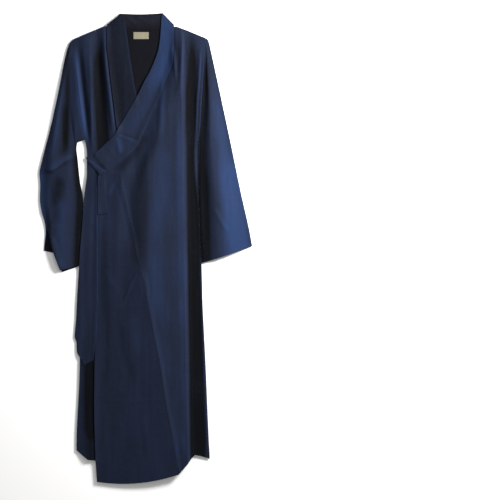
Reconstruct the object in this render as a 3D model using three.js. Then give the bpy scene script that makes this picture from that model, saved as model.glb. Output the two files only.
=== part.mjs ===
// A long wrap robe laid on its back, front up: two fronts that cross, a band collar,
// wide sleeves and tie ribbons.
// Plan places are given in millimetres: across from the middle line, and down from the collar's top edge.
// In the part's frame X is across, Y points to the collar and Z is up from the surface that the robe lies on.
import * as THREE from "three";

// Driving sizes
const LENGTH = 1299; // collar top to the lowest point of the hem
const MIDDLE = 0.75; // the middle of the whole outline lies this far right of the middle line
const CLOTH = 2; // wall of each piece, a seam and its hems included
const SEAM = 0.3; // gap between pieces that are sewn or lie on each other
const REST = CLOTH + SEAM; // underside of a piece that lies on the flat back
const LAID = 0.5; // gap over a panel whose folds were shaped apart
const LABEL_WALL = 1; // the woven label is thinner than the cloth
const LABEL = { left: -34, right: 8, top: 54, bottom: 73 };
const BACK_LEVEL = 0; // underside of the back, which rests on the surface
const ARM_LIFT = 6; // height of the upper layer over the lower one at the middle of an armhole
const SHOULDER_ROLL = 26; // length over which the fronts roll down to the shoulder line
const REACH_ACROSS = 7; // a piece clears the highest point of what is under it within this reach
const REACH_DOWN = 11;
const EDGE_INSET = 2; // wall at a sleeve's folded edges
const CUFF_POWER = 6; // how late down a sleeve its rows take up the cuff's own line

const NAVY = 0x222c45;
const NAVY_INSIDE = 0x1a1f2c;
const LABEL_CREAM = 0xd8d2bd;

// Turns rows of numbers into objects with named columns
function table(columns, rows) {
  return rows.map((row) => Object.fromEntries(columns.map((column, i) => [column, row[i]])));
}

const clamp01 = (q) => Math.min(1, Math.max(0, q));
const mix = (a, b, q) => a + (b - a) * q;

function smooth(q) {
  const c = clamp01(q);
  return c * c * (3 - 2 * c);
}

// Smooth curve through one column of a table, as a function of another column
function curve(rows, key, by = "down") {
  const slope = rows.slice(1).map((row, i) => (row[key] - rows[i][key]) / (row[by] - rows[i][by]));
  const tangent = rows.map((row, i) => {
    const before = slope[i - 1] ?? slope[i];
    const after = slope[i] ?? slope[i - 1];
    return before * after > 0 ? (2 * before * after) / (before + after) : 0;
  });
  return (at) => {
    const last = rows.length - 1;
    if (at <= rows[0][by]) return rows[0][key];
    if (at >= rows[last][by]) return rows[last][key];
    const i = rows.findIndex((row) => row[by] > at) - 1;
    const span = rows[i + 1][by] - rows[i][by];
    const q = (at - rows[i][by]) / span;
    const ease = smooth(q);
    const leave = q * (1 - q) * (1 - q) * tangent[i] * span;
    const arrive = q * q * (1 - q) * tangent[i + 1] * span;
    return mix(rows[i][key], rows[i + 1][key], ease) + leave - arrive;
  };
}

// Nearest place on a fold's path: how far aside it is, to which side, and how far along
function beside(path, x, down) {
  let best = { gap: Infinity };
  let walked = 0;
  for (let i = 0; i + 1 < path.length; i++) {
    const [ax, ad] = path[i];
    const run = [path[i + 1][0] - ax, path[i + 1][1] - ad];
    const length = Math.hypot(...run);
    const q = clamp01(((x - ax) * run[0] + (down - ad) * run[1]) / (length * length));
    const off = [x - ax - run[0] * q, down - ad - run[1] * q];
    const gap = Math.hypot(...off);
    const side = Math.sign(run[0] * off[1] - run[1] * off[0]) || 1;
    if (gap < best.gap) best = { gap, side, along: walked + length * q };
    walked += length;
  }
  return { ...best, length: walked };
}

// Height that a list of folds adds at one place.
// A fold is high over its path and fades to its two sides and ends.
function foldHeight(folds, x, down) {
  let sum = 0;
  for (const fold of folds) {
    const near = beside(fold.path, x, down);
    const width = near.side > 0 ? fold.west : fold.east;
    const ends = smooth(near.along / fold.fade) * smooth((near.length - near.along) / fold.fade);
    sum += fold.high * (1 - smooth(near.gap / width)) * ends;
  }
  return sum;
}

// Height of a form at one place, from its rails and the heights on them.
// Each rail is a crest, a valley or an edge.
function formHeight(form, x, down) {
  const rails = form.rails.map((rail) => ({ x: form.across[rail](down), z: form.height[rail](down) }));
  let i = rails.findIndex((rail) => rail.x > x) - 1;
  if (i === -2) i = rails.length - 2;
  i = Math.max(0, i);
  const q = (x - rails[i].x) / Math.max(0.001, rails[i + 1].x - rails[i].x);
  return mix(rails[i].z, rails[i + 1].z, smooth(q)) + foldHeight(form.folds, x, down);
}

// A form: tables of sections down the length, one column for each rail
function makeForm({ rails, across, height, folds = [] }) {
  const curves = (rows) => Object.fromEntries(rails.map((rail) => [rail, curve(rows, rail)]));
  const columns = ["down", ...rails];
  return {
    rails,
    across: curves(table(columns, across)),
    height: curves(table(columns, height)),
    folds,
  };
}

// A closed wall between an upper and a lower grid of points
function wallFromGrids(upper, lower) {
  const rows = upper.length;
  const columns = upper[0].length;
  const points = [...upper.flat(), ...lower.flat()];
  const up = (r, c) => r * columns + c;
  const low = (r, c) => rows * columns + up(r, c);
  const faces = [];
  const quad = (a, b, c, d) => faces.push(a, b, c, a, c, d);
  for (let r = 0; r + 1 < rows; r++) {
    for (let c = 0; c + 1 < columns; c++) {
      quad(up(r, c), up(r + 1, c), up(r + 1, c + 1), up(r, c + 1));
      quad(low(r, c), low(r, c + 1), low(r + 1, c + 1), low(r + 1, c));
    }
    quad(up(r, 0), low(r, 0), low(r + 1, 0), up(r + 1, 0));
    quad(up(r, columns - 1), up(r + 1, columns - 1), low(r + 1, columns - 1), low(r, columns - 1));
  }
  for (let c = 0; c + 1 < columns; c++) {
    quad(up(0, c), up(0, c + 1), low(0, c + 1), low(0, c));
    quad(up(rows - 1, c), low(rows - 1, c), low(rows - 1, c + 1), up(rows - 1, c + 1));
  }
  return geometryOf(points, faces);
}

// A wall tube from outer and inner rings, open at both ends
function tubeFromRings(outer, inner) {
  const rows = outer.length;
  const around = outer[0].length;
  const points = [...outer.flat(), ...inner.flat()];
  const out = (r, c) => r * around + (c % around);
  const inn = (r, c) => rows * around + out(r, c);
  const faces = [];
  const quad = (a, b, c, d) => faces.push(a, b, c, a, c, d);
  for (let c = 0; c < around; c++) {
    for (let r = 0; r + 1 < rows; r++) {
      quad(out(r, c), out(r + 1, c), out(r + 1, c + 1), out(r, c + 1));
      quad(inn(r, c), inn(r, c + 1), inn(r + 1, c + 1), inn(r + 1, c));
    }
    quad(out(0, c), out(0, c + 1), inn(0, c + 1), inn(0, c));
    quad(out(rows - 1, c), inn(rows - 1, c), inn(rows - 1, c + 1), out(rows - 1, c + 1));
  }
  return geometryOf(points, faces);
}

// Plan points with a height become points of the part's frame
function geometryOf(points, faces) {
  const geometry = new THREE.BufferGeometry();
  const place = points.flatMap(({ x, down, z }) => [x - MIDDLE, LENGTH / 2 - down, z]);
  geometry.setAttribute("position", new THREE.Float32BufferAttribute(place, 3));
  geometry.setIndex(faces);
  geometry.computeVertexNormals();
  return geometry;
}

// Fractions from 0 to 1 in stretches, each with its own number of steps
function fractions(stretches) {
  const list = [0];
  let from = 0;
  for (const { to, steps } of stretches) {
    for (let k = 1; k <= steps; k++) list.push(mix(from, to, k / steps));
    from = to;
  }
  return list;
}

// Plan grid between rails that run down the piece. Each rail starts and ends at its own place.
function planGrid({ form, ends, columns, rows }) {
  const rails = ends.map(({ rail, top, hem }) => (t) => {
    const down = mix(top, hem, t);
    return { x: form.across[rail](down), down };
  });
  return fractions(rows).map((t) => {
    const line = [rails[0](t)];
    for (let i = 0; i + 1 < rails.length; i++) {
      const a = rails[i](t);
      const b = rails[i + 1](t);
      for (let k = 1; k <= columns[i]; k++) {
        const q = k / columns[i];
        line.push({ x: mix(a.x, b.x, q), down: mix(a.down, b.down, q) });
      }
    }
    return line;
  });
}

// A panel: underside height over the plan, with what it lies on cleared
function makePanel({ form, grid, over = [], top = null }) {
  const under = (x, down) => {
    const own = formHeight(form, x, down);
    const rolled = top ? mix(top.low, own, rollOff((down - top.line(x)) / SHOULDER_ROLL)) : own;
    return Math.max(rolled, restOn(over, x, down));
  };
  const outline = (x, down) => {
    const left = form.across[form.rails[0]](down);
    const right = form.across[form.rails[form.rails.length - 1]](down);
    const first = grid[0];
    const last = grid[grid.length - 1];
    const inRows = down >= downAt(first, x) - REACH_DOWN && down <= downAt(last, x) + REACH_DOWN;
    return inRows && x >= left - REACH_ACROSS && x <= right + REACH_ACROSS;
  };
  return { grid, under, outline };
}

// Where a grid's end line lies at one place across
function downAt(line, x) {
  const i = Math.max(1, line.findIndex((point) => point.x > x));
  const [a, b] = [line[i - 1], line[i]];
  return mix(a.down, b.down, clamp01((x - a.x) / Math.max(0.001, b.x - a.x)));
}

// Quarter-round profile of an edge that rolls down
function rollOff(q) {
  const c = 1 - clamp01(q);
  return Math.sqrt(1 - c * c);
}

// Lowest underside that clears every panel in a list around one place
function restOn(panels, x, down) {
  let z = 0;
  for (const panel of panels) {
    for (const dx of [-REACH_ACROSS, 0, REACH_ACROSS]) {
      for (const dd of [-REACH_DOWN, 0, REACH_DOWN]) {
        if (!panel.outline(x + dx, down + dd)) continue;
        z = Math.max(z, panel.under(x + dx, down + dd) + CLOTH + LAID);
      }
    }
  }
  return z;
}

function panelWall(panel, wall = CLOTH) {
  const lower = panel.grid.map((line) => line.map((p) => ({ ...p, z: panel.under(p.x, p.down) })));
  const upper = lower.map((line) => line.map((p) => ({ ...p, z: p.z + wall })));
  return wallFromGrids(upper, lower);
}

// Sections of the body: left silhouette, neck and right silhouette
const SIDES = table(["down", "left", "right"], [
  [72, -200, 165.6],
  [110, -196, 163.3],
  [180, -187.7, 159],
  [260, -178.5, 154],
  [351, -168, 148],
  [388, -162, 144.5],
  [430, -162, 144.5],
  [476, -164, 145.5],
  [525, -171.5, 146.8],
  [572, -174, 148],
  [641, -177.5, 151],
  [700, -180, 154],
  [800, -181, 156.5],
  [975, -182, 165],
  [1097, -187, 170],
  [1199, -191, 174.5],
  [1240, -189, 176.5],
]);
const sideLeft = curve(SIDES, "left");
const sideRight = curve(SIDES, "right");

// Shoulder line: the fronts roll down to it and the back ends at it
const SHOULDER = table(["across", "down"], [
  [-202, 74],
  [-151, 53],
  [-107, 35],
  [-77, 44],
  [-15, 47],
  [47, 44],
  [78, 35],
  [124, 53],
  [168, 71],
]);
const shoulderLine = curve(SHOULDER, "down", "across");

// Upper layer's height at an armhole, none at the shoulder and at the armpit
function armLift(down, shoulder, armpit) {
  const q = clamp01((down - shoulder) / (armpit - shoulder));
  return ARM_LIFT * 4 * q * (1 - q);
}

const ARMPIT_LEFT = 351;
const ARMPIT_RIGHT = 358;
const SHOULDER_LEFT = 74;
const SHOULDER_RIGHT = 71;
const FOLDED_EDGE = REST + SEAM; // underside of an upper layer at a folded or sewn edge

const seamLeft = (down) => FOLDED_EDGE + armLift(down, SHOULDER_LEFT, ARMPIT_LEFT);
const seamRight = (down) => FOLDED_EDGE + armLift(down, SHOULDER_RIGHT, ARMPIT_RIGHT);

// Rows of a height table whose edge follows an armhole seam
function withSeam(rows, column, seam) {
  return rows.map((row) => row.map((z, i) => (i === column ? seam(row[0]) : z)));
}

// Neck seam between the back and the collar, which curves down between its ends
const NECK = { left: -106, right: 77, down: 45, curve: 2.4, steps: 8 };
const neckCurve = (q) => NECK.curve * Math.sin(Math.PI * q);

// Back: one flat panel on the surface, with its upper edge along the neck seam
const HEM_NECK_LEFT = -80; // where the lines down from the neck's ends meet the hem
const HEM_NECK_RIGHT = 64;
const backForm = makeForm({
  rails: ["left", "neckLeft", "neckRight", "right"],
  across: SIDES.map(({ down, left, right }) => {
    const q = Math.max(0, down - NECK.down) / LENGTH;
    return [down, left, mix(NECK.left, HEM_NECK_LEFT, q), mix(NECK.right, HEM_NECK_RIGHT, q), right];
  }),
  height: [[0, 0, 0, 0, 0], [LENGTH, 0, 0, 0, 0]],
});
const BACK_COLUMNS = [2, NECK.steps, 2];
const back = {
  grid: planGrid({
    form: backForm,
    ends: [
      { rail: "left", top: 75, hem: 1204 },
      { rail: "neckLeft", top: NECK.down + SEAM, hem: 1234 },
      { rail: "neckRight", top: NECK.down + SEAM, hem: 1205 },
      { rail: "right", top: 72, hem: 1229 },
    ],
    columns: BACK_COLUMNS,
    rows: [{ to: 0.3, steps: 8 }, { to: 1, steps: 8 }],
  }),
  under: () => BACK_LEVEL,
};
for (let k = 0; k <= NECK.steps; k++) {
  back.grid[0][BACK_COLUMNS[0] + k].down += neckCurve(k / NECK.steps);
}

// Inner front: the wearer's right, which shows at the left chest and beside the lap's edge at the hem
const innerForm = makeForm({
  rails: ["side", "crest", "valley", "ridge", "edge"],
  across: [
    [60, -201, -160, -133, -113, -97],
    [131, -193, -152, -130, -110, -92],
    [230, -182.5, -147, -124, -98, -80],
    [326, -171, -147, -117, -87, -68],
    [388, -162, -143, -112, -78, -56],
    [440, -162, -138, -105, -60, -40],
    [525, -171.5, -138, -100, -45, -20],
    [700, -180, -140, -95, -40, 0],
    [975, -182, -150, -118, -50, 9],
    [1199, -191, -160, -128, -60, 11],
    [1240, -190, -160, -128, -60, 11],
  ],
  height: withSeam([
    [60, 0, 9, 3.5, 8, 3],
    [131, 0, 13, 3.5, 12, 3],
    [230, 0, 14, 3, 13, 3],
    [310, 0, 12, 3, 11, 3],
    [370, 0, 6, 2.6, 5, 2.6],
    [430, 0, 3, 2.4, 2.4, 2.4],
    [700, 0, 2.4, 2.4, 2.4, 2.4],
    [960, 0, 4, 2.4, 2.4, 2.4],
    [1199, 0, 7, 2.6, 2.4, 2.4],
    [1240, 0, 7, 2.6, 2.4, 2.4],
  ], 1, seamLeft),
  folds: [
    { west: 16, east: 14, high: 6, fade: 60, path: [[-190, 110], [-180, 190], [-168, 290], [-160, 345]] },
  ],
});
const innerFront = makePanel({
  form: innerForm,
  grid: planGrid({
    form: innerForm,
    ends: [
      { rail: "side", top: 74, hem: 1207 },
      { rail: "crest", top: 57, hem: 1233 },
      { rail: "valley", top: 46, hem: 1237 },
      { rail: "ridge", top: 38, hem: 1238 },
      { rail: "edge", top: 38, hem: 1238 },
    ],
    columns: [5, 4, 4, 3],
    rows: [{ to: 0.32, steps: 16 }, { to: 0.72, steps: 5 }, { to: 1, steps: 6 }],
  }),
  top: { line: shoulderLine, low: FOLDED_EDGE },
});

// Under stretch of the collar, on the inner front's edge and then under the lap
const underBand = makeForm({
  rails: ["seam", "free"],
  across: [
    [0, -107, -70],
    [14, -107, -59],
    [48, -107, -54],
    [89, -107, -48],
    [131, -102, -42],
    [186, -96, -33],
    [241, -89, -23],
    [282, -84, -13],
    [340, -77, 2],
  ],
  height: [[0, 3.2, 3.2], [40, 6, 6], [200, 5, 5], [340, 3, 3]],
});
const collarUnder = makePanel({
  form: underBand,
  grid: planGrid({
    form: underBand,
    ends: [{ rail: "seam", top: 34, hem: 340 }, { rail: "free", top: 2.5, hem: 340 }],
    columns: [6],
    rows: [{ to: 1, steps: 16 }],
  }),
  over: [innerFront],
});

// Outer front: the wearer's left, which laps over and carries the largest folds
const outerForm = makeForm({
  rails: ["lap", "crest", "roll", "turn", "valley", "side"],
  across: [
    [44, 69, 85, 98, 107, 114, 167.2],
    [103, 66, 88, 101, 110, 124, 163.6],
    [161, 54, 85, 101, 110, 128, 159.9],
    [229, 32, 76, 100, 109, 128, 155.7],
    [310, -6, 52, 100, 109, 126, 150.6],
    [376, -37, 27, 101, 110, 124, 145.5],
    [420, -85, 14, 102, 111, 124, 144.5],
    [446, -128, 12, 102, 111, 124, 145],
    [517, -132.5, 11, 103, 112, 126, 146.6],
    [627, -133, 4, 105, 114, 128, 150.5],
    [700, -133, -8, 107, 116, 130, 154],
    [790, -133, 7, 108, 117, 130, 156.3],
    [880, -136, 25, 110, 119, 131, 160.5],
    [971, -141, 43, 111, 120, 133, 165],
    [1083, -142, 61, 113, 122, 134, 169.6],
    [1174, -140, 78, 115, 124, 136, 173.4],
    [1237, -138, 89, 117, 126, 137, 176.4],
    [1299, -134, 94, 117, 126, 138, 176.5],
  ],
  height: withSeam([
    [44, 4, 7, 8, 5, 4, 0],
    [103, 5, 13, 15, 7.5, 5, 0],
    [161, 6, 16, 17, 7.6, 4.5, 0],
    [229, 7, 19, 18, 7.5, 4, 0],
    [310, 7, 20, 19, 7.8, 4, 0],
    [376, 6, 19, 19, 7.8, 4, 0],
    [446, 5.2, 19, 19, 7.8, 4, 0],
    [517, 5.2, 21, 18, 7.5, 4, 0],
    [627, 5.2, 22, 18, 7.5, 4, 0],
    [790, 5.2, 20, 18, 7.5, 4, 0],
    [971, 5.2, 18, 18, 7.5, 4, 0],
    [1174, 5.2, 16, 19, 7.8, 4, 0],
    [1299, 5.2, 15, 19, 7.8, 4, 0],
  ], 6, seamRight),
  folds: [
    { west: 34, east: 30, high: -4.5, fade: 60, path: [[30, 320], [-22, 430], [-44, 540], [-38, 660]] },
    { west: 14, east: 12, high: 3.5, fade: 40, path: [[-74, 440], [-50, 547], [-18, 704]] },
    { west: 18, east: 26, high: 3.5, fade: 90, path: [[-110, 520], [-100, 660], [-96, 900]] },
    { west: 12, east: 16, high: 3.5, fade: 30, path: [[-20, 706], [-44, 756], [-72, 836]] },
    { west: 8, east: 7, high: 5, fade: 40, path: [[76, 96], [82, 190], [66, 290]] },
    { west: 10, east: 8, high: 6, fade: 60, path: [[152, 92], [140, 300], [146, 550], [150, 660]] },
    { west: 12, east: 8, high: 4, fade: 60, path: [[154, 720], [164, 1000], [171, 1210]] },
    { west: 14, east: 16, high: 3, fade: 50, path: [[44, 210], [40, 350], [28, 420]] },
  ],
});
const outerFront = makePanel({
  form: outerForm,
  grid: planGrid({
    form: outerForm,
    ends: [
      { rail: "lap", top: 40, hem: 1294 },
      { rail: "crest", top: 39, hem: 1272 },
      { rail: "roll", top: 44, hem: 1243 },
      { rail: "turn", top: 47, hem: 1229 },
      { rail: "valley", top: 50, hem: 1219 },
      { rail: "side", top: 71, hem: 1230 },
    ],
    columns: [15, 9, 3, 3, 6],
    rows: [{ to: 0.38, steps: 20 }, { to: 1, steps: 15 }],
  }),
  over: [innerFront, collarUnder],
  top: { line: shoulderLine, low: FOLDED_EDGE },
});
// The hem of the lap hangs a little lower between its corner and the crest
const HEM_DIP = 13.8;
const HEM_DIP_FROM = 1000;
const HEM_DIP_TO = 1280;
for (const line of outerFront.grid) {
  for (const point of line) {
    const left = outerForm.across.lap(point.down);
    const right = outerForm.across.crest(point.down);
    const q = clamp01((point.x - left) / (right - left));
    const bow = 4 * q * (1 - q);
    point.down += HEM_DIP * bow * smooth((point.down - HEM_DIP_FROM) / (HEM_DIP_TO - HEM_DIP_FROM));
  }
}

// Back stretch of the collar, past the back's neck edge, with its inner face up
const backBand = makeForm({
  rails: ["left", "right"],
  across: [[2, -71, 44], [20, -88, 60], [40, NECK.left, NECK.right], [47, NECK.left, NECK.right]],
  height: [[0, 0, 0], [60, 0, 0]],
});
const collarBack = {
  grid: planGrid({
    form: backBand,
    ends: [{ rail: "left", top: 2.5, hem: NECK.down }, { rail: "right", top: 1.5, hem: NECK.down }],
    columns: [NECK.steps],
    rows: [{ to: 1, steps: 4 }],
  }),
  under: () => BACK_LEVEL,
};
for (const line of collarBack.grid) {
  line.forEach((point, k) => {
    point.down += neckCurve(k / NECK.steps);
  });
}

// Over stretch of the collar, from the right shoulder across the chest to the ties
const overBand = makeForm({
  rails: ["free", "seam"],
  across: [
    [0, 45, 78],
    [20, 43, 78],
    [43, 41.6, 78],
    [75, 39, 78],
    [108, 33, 77],
    [131, 25, 76],
    [163, 11, 66],
    [190, -4, 54],
    [233, -25, 38],
    [281, -53, 16],
    [314, -72, 2],
    [340, -88, -11],
    [360, -109, -18],
    [375, -124, -29],
    [393, -142, -48],
    [418, -142, -80],
    [434, -142, -101],
  ],
  height: [[0, 3, 3], [50, 8, 8], [200, 8, 8], [300, 7, 7], [434, 7, 7]],
  folds: [
    { west: 16, east: 16, high: 5, fade: 18, path: [[-75, 326], [-68, 352], [-62, 392]] },
    { west: 9, east: 9, high: 3, fade: 14, path: [[-76, 332], [-48, 346], [-20, 352]] },
  ],
});
const collarOver = makePanel({
  form: overBand,
  grid: planGrid({
    form: overBand,
    ends: [{ rail: "free", top: 0, hem: 393 }, { rail: "seam", top: 34, hem: 434 }],
    columns: [7],
    rows: [{ to: 1, steps: 30 }],
  }),
  over: [innerFront, collarUnder, outerFront],
});

// A flat ribbon: rails on both sides of it, laid on what is under it
function ribbon({ across, ends, columns, rows, over }) {
  const form = makeForm({
    rails: ["left", "right"],
    across,
    height: [[0, FOLDED_EDGE, FOLDED_EDGE], [LENGTH, FOLDED_EDGE, FOLDED_EDGE]],
  });
  const grid = planGrid({ form, ends, columns: [columns], rows: [{ to: 1, steps: rows }] });
  return makePanel({ form, grid, over });
}

// Long tie ribbon that hangs beside the lap's edge
const tieLong = ribbon({
  across: [
    [404, -156, -139],
    [456, -162, -136],
    [506, -166, -135.5],
    [572, -174, -135],
    [655, -181, -135],
    [710, -184.5, -135.5],
    [779, -189, -136],
    [843, -192, -137],
    [895, -196, -139],
    [909, -191, -141],
    [934, -190, -143],
    [960, -176, -145],
    [977, -170, -150],
  ],
  ends: [{ rail: "left", top: 404, hem: 972 }, { rail: "right", top: 412, hem: 958 }],
  columns: 4,
  rows: 22,
  over: [innerFront],
});

// Short tie end that hangs from the knot on the lap
const tieShort = ribbon({
  across: [[436, -129, -110], [500, -130.5, -108], [557, -131, -102]],
  ends: [{ rail: "left", top: 442, hem: 557 }, { rail: "right", top: 444, hem: 554 }],
  columns: 3,
  rows: 5,
  over: [outerFront, collarOver],
});

// Strap of the tie that crosses the collar's end
const tieStrap = ribbon({
  across: [
    [396, -168, -146],
    [410, -160, -132],
    [424, -148, -117],
    [436, -136, -104],
    [450, -126, -96],
  ],
  ends: [{ rail: "left", top: 400, hem: 450 }, { rail: "right", top: 397, hem: 436 }],
  columns: 4,
  rows: 6,
  over: [innerFront, outerFront, collarOver, tieLong, tieShort],
});

// Sleeves: wall tubes pressed flat, open at the armhole and at the cuff
function sleeveWall({ form, outerEdge, innerEdge, cuff, columns, rows, mirror }) {
  const plan = fractions(rows).map((t) => {
    const a = outerEdge(t);
    const b = innerEdge(t);
    const line = [];
    for (let k = 0; k <= columns; k++) {
      const q = k / columns;
      const drop = cuff(q) * Math.pow(t, CUFF_POWER);
      line.push({ x: mix(a.x, b.x, q), down: mix(a.down, b.down, q) + drop });
    }
    return line;
  });
  const inset = plan.map((line) => {
    const [a, b] = [line[0], line[line.length - 1]];
    const share = EDGE_INSET / Math.hypot(b.x - a.x, b.down - a.down);
    return line.map((point, k) => {
      const pull = k === 0 ? share : k === columns ? -share : 0;
      return { x: point.x + (b.x - a.x) * pull, down: point.down + (b.down - a.down) * pull };
    });
  });
  const upper = (p) => formHeight(form, p.x, p.down);
  const ring = (line, low, high) => {
    const bottom = line.map((p) => ({ ...p, z: low }));
    const top = line.map((p) => ({ ...p, z: upper(p) + high }));
    return mirror ? [...top, ...bottom.reverse()] : [...bottom, ...top.reverse()];
  };
  return tubeFromRings(
    plan.map((line) => ring(line, BACK_LEVEL, CLOTH)),
    inset.map((line) => ring(line, BACK_LEVEL + CLOTH, 0)),
  );
}

// A sleeve's edge as a curve down the sleeve
function edgeCurve(rows, top, hem, shift) {
  const at = curve(table(["down", "across"], rows), "across");
  return (t) => ({ x: at(mix(top, hem, t)) + shift, down: mix(top, hem, t) });
}

const SLEEVE_GAP = 0.5; // between a sleeve and the body beside it
const LOW = FOLDED_EDGE;
const leftSleeveForm = makeForm({
  rails: ["outer", "crest", "valley", "inner"],
  across: [
    [78, -202, -201.8, -201.4, -201],
    [130, -222, -215, -206, -194],
    [219, -241, -231, -214, -184],
    [318, -263, -247, -222, -172],
    [366, -274, -252, -224, -172],
    [420, -289, -256, -222, -184],
    [511, -291, -262, -232, -175],
    [600, -271, -259, -238, -177],
    [663, -284, -249, -236, -180],
    [711, -284, -233, -222, -183],
  ],
  height: withSeam([
    [78, LOW, 3, 3, 0],
    [130, LOW, 7, 5, 0],
    [219, LOW, 10, 5, 0],
    [318, LOW, 12, 5, 0],
    [366, LOW, 13, 7, 0],
    [420, LOW, 13, 10, 0],
    [511, LOW, 10, 11, 0],
    [600, LOW, 9, 10, 0],
    [663, LOW, 9, 10, 0],
    [711, LOW, 9, 9, 0],
  ], 4, seamLeft),
  folds: [
    { west: 26, east: 22, high: 4.5, fade: 30, path: [[-288, 434], [-260, 434], [-226, 412], [-198, 386]] },
    { west: 16, east: 18, high: -2.5, fade: 30, path: [[-262, 456], [-228, 436], [-204, 412]] },
    { west: 15, east: 15, high: 3, fade: 20, path: [[-262, 610], [-248, 664], [-233, 712]] },
    { west: 14, east: 20, high: -3, fade: 30, path: [[-262, 500], [-250, 560], [-262, 590]] },
  ],
});
const LEFT_CUFF = table(["across", "drop"], [[0, 0], [1 / 3, -7], [0.5, 38], [1, 0]]);
const leftCuffDrop = (q) => {
  const i = LEFT_CUFF.findIndex((row) => row.across >= q && row.across > 0);
  const [a, b] = [LEFT_CUFF[i - 1], LEFT_CUFF[i]];
  return mix(a.drop, b.drop, (q - a.across) / (b.across - a.across));
};
const leftSleeve = sleeveWall({
  form: leftSleeveForm,
  outerEdge: edgeCurve([
    [SHOULDER_LEFT, -200],
    [86, -211],
    [118, -221],
    [219, -241],
    [318, -263],
    [412, -287],
    [441, -293],
    [478, -291],
    [511, -292],
    [542, -289],
    [572, -280],
    [600, -272],
    [630, -277],
    [656, -283],
  ], SHOULDER_LEFT, 656, -SLEEVE_GAP),
  innerEdge: edgeCurve([
    [ARMPIT_LEFT, -168],
    [354, -176],
    [360, -189],
    [376, -191],
    [407, -189],
    [448, -185],
    [473, -181],
    [498, -176],
    [525, -173],
    [572, -175],
    [641, -178.5],
    [700, -181.5],
  ], ARMPIT_LEFT, 700, -SLEEVE_GAP),
  cuff: leftCuffDrop,
  columns: 12,
  rows: [{ to: 0.06, steps: 2 }, { to: 0.66, steps: 23 }, { to: 1, steps: 8 }],
  mirror: true,
});

const RIGHT_CUFF_BOW = 2; // the right cuff bows this far past its chord
const rightSleeveForm = makeForm({
  rails: ["inner", "valley", "crest", "outer"],
  across: [
    [73, 166.6, 166.8, 167.2, 167.6],
    [130, 162, 165, 170, 183],
    [240, 156, 163, 176, 207],
    [358, 148, 160, 182, 233],
    [480, 146, 160, 190, 259],
    [600, 150, 166, 202, 285],
    [700, 155, 172, 212, 300],
  ],
  height: withSeam([
    [73, 0, 3, 3, LOW],
    [130, 0, 4, 7, LOW],
    [240, 0, 4, 11, LOW],
    [358, 0, 4, 14, LOW],
    [480, 0, 5, 15, LOW],
    [600, 0, 5, 14, LOW],
    [700, 0, 5, 13, LOW],
  ], 1, seamRight),
  folds: [
    { west: 14, east: 14, high: 2.5, fade: 24, path: [[186, 532], [206, 572], [228, 612]] },
  ],
});
const rightSleeve = sleeveWall({
  form: rightSleeveForm,
  outerEdge: edgeCurve([
    [SHOULDER_RIGHT, 166],
    [75, 171],
    [86, 175],
    [108, 180],
    [142, 187.5],
    [340, 230],
    [500, 263],
    [603, 286],
    [644, 293.3],
  ], SHOULDER_RIGHT, 644, SLEEVE_GAP),
  innerEdge: edgeCurve([
    [ARMPIT_RIGHT, 148],
    [388, 144.6],
    [430, 144.6],
    [476, 145.6],
    [572, 148.2],
    [641, 151.2],
    [691, 153.8],
  ], ARMPIT_RIGHT, 691, SLEEVE_GAP),
  cuff: (q) => 4 * q * (1 - q) * RIGHT_CUFF_BOW,
  columns: 12,
  rows: [{ to: 0.06, steps: 2 }, { to: 1, steps: 16 }],
  mirror: false,
});

// Woven label on the inside of the back
const label = {
  grid: [LABEL.top, LABEL.bottom].map((down) => [LABEL.left, LABEL.right].map((x) => ({ x, down }))),
  under: () => REST,
};

function cloth(color, roughness = 0.86) {
  return new THREE.MeshStandardMaterial({ color, roughness, metalness: 0, side: THREE.DoubleSide });
}

const robe = new THREE.Group();
robe.name = "robe";

function add(name, geometry, material) {
  const mesh = new THREE.Mesh(geometry, material);
  mesh.name = name;
  robe.add(mesh);
}

add("back", panelWall(back), cloth(NAVY_INSIDE));
add("inner_front", panelWall(innerFront), cloth(NAVY));
add("outer_front", panelWall(outerFront), cloth(NAVY));
add("sleeve_left", leftSleeve, cloth(NAVY));
add("sleeve_right", rightSleeve, cloth(NAVY));
add("collar_back", panelWall(collarBack), cloth(NAVY_INSIDE));
add("collar_under", panelWall(collarUnder), cloth(NAVY));
add("collar_over", panelWall(collarOver), cloth(NAVY));
add("tie_long", panelWall(tieLong), cloth(NAVY));
add("tie_short", panelWall(tieShort), cloth(NAVY));
add("tie_strap", panelWall(tieStrap), cloth(NAVY));
add("label", panelWall(label, LABEL_WALL), cloth(LABEL_CREAM, 0.7));

export default robe;
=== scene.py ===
"""A long wrap robe laid on its back, front up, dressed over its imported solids.

The plan is in millimetres: across from the middle line, and down from the collar's top edge.
"""
import math

import bpy
import numpy as np
from bpy.props import FloatProperty, FloatVectorProperty, PointerProperty
from bpy.types import Operator, Panel, PropertyGroup
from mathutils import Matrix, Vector
from mathutils.bvhtree import BVHTree


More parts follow.
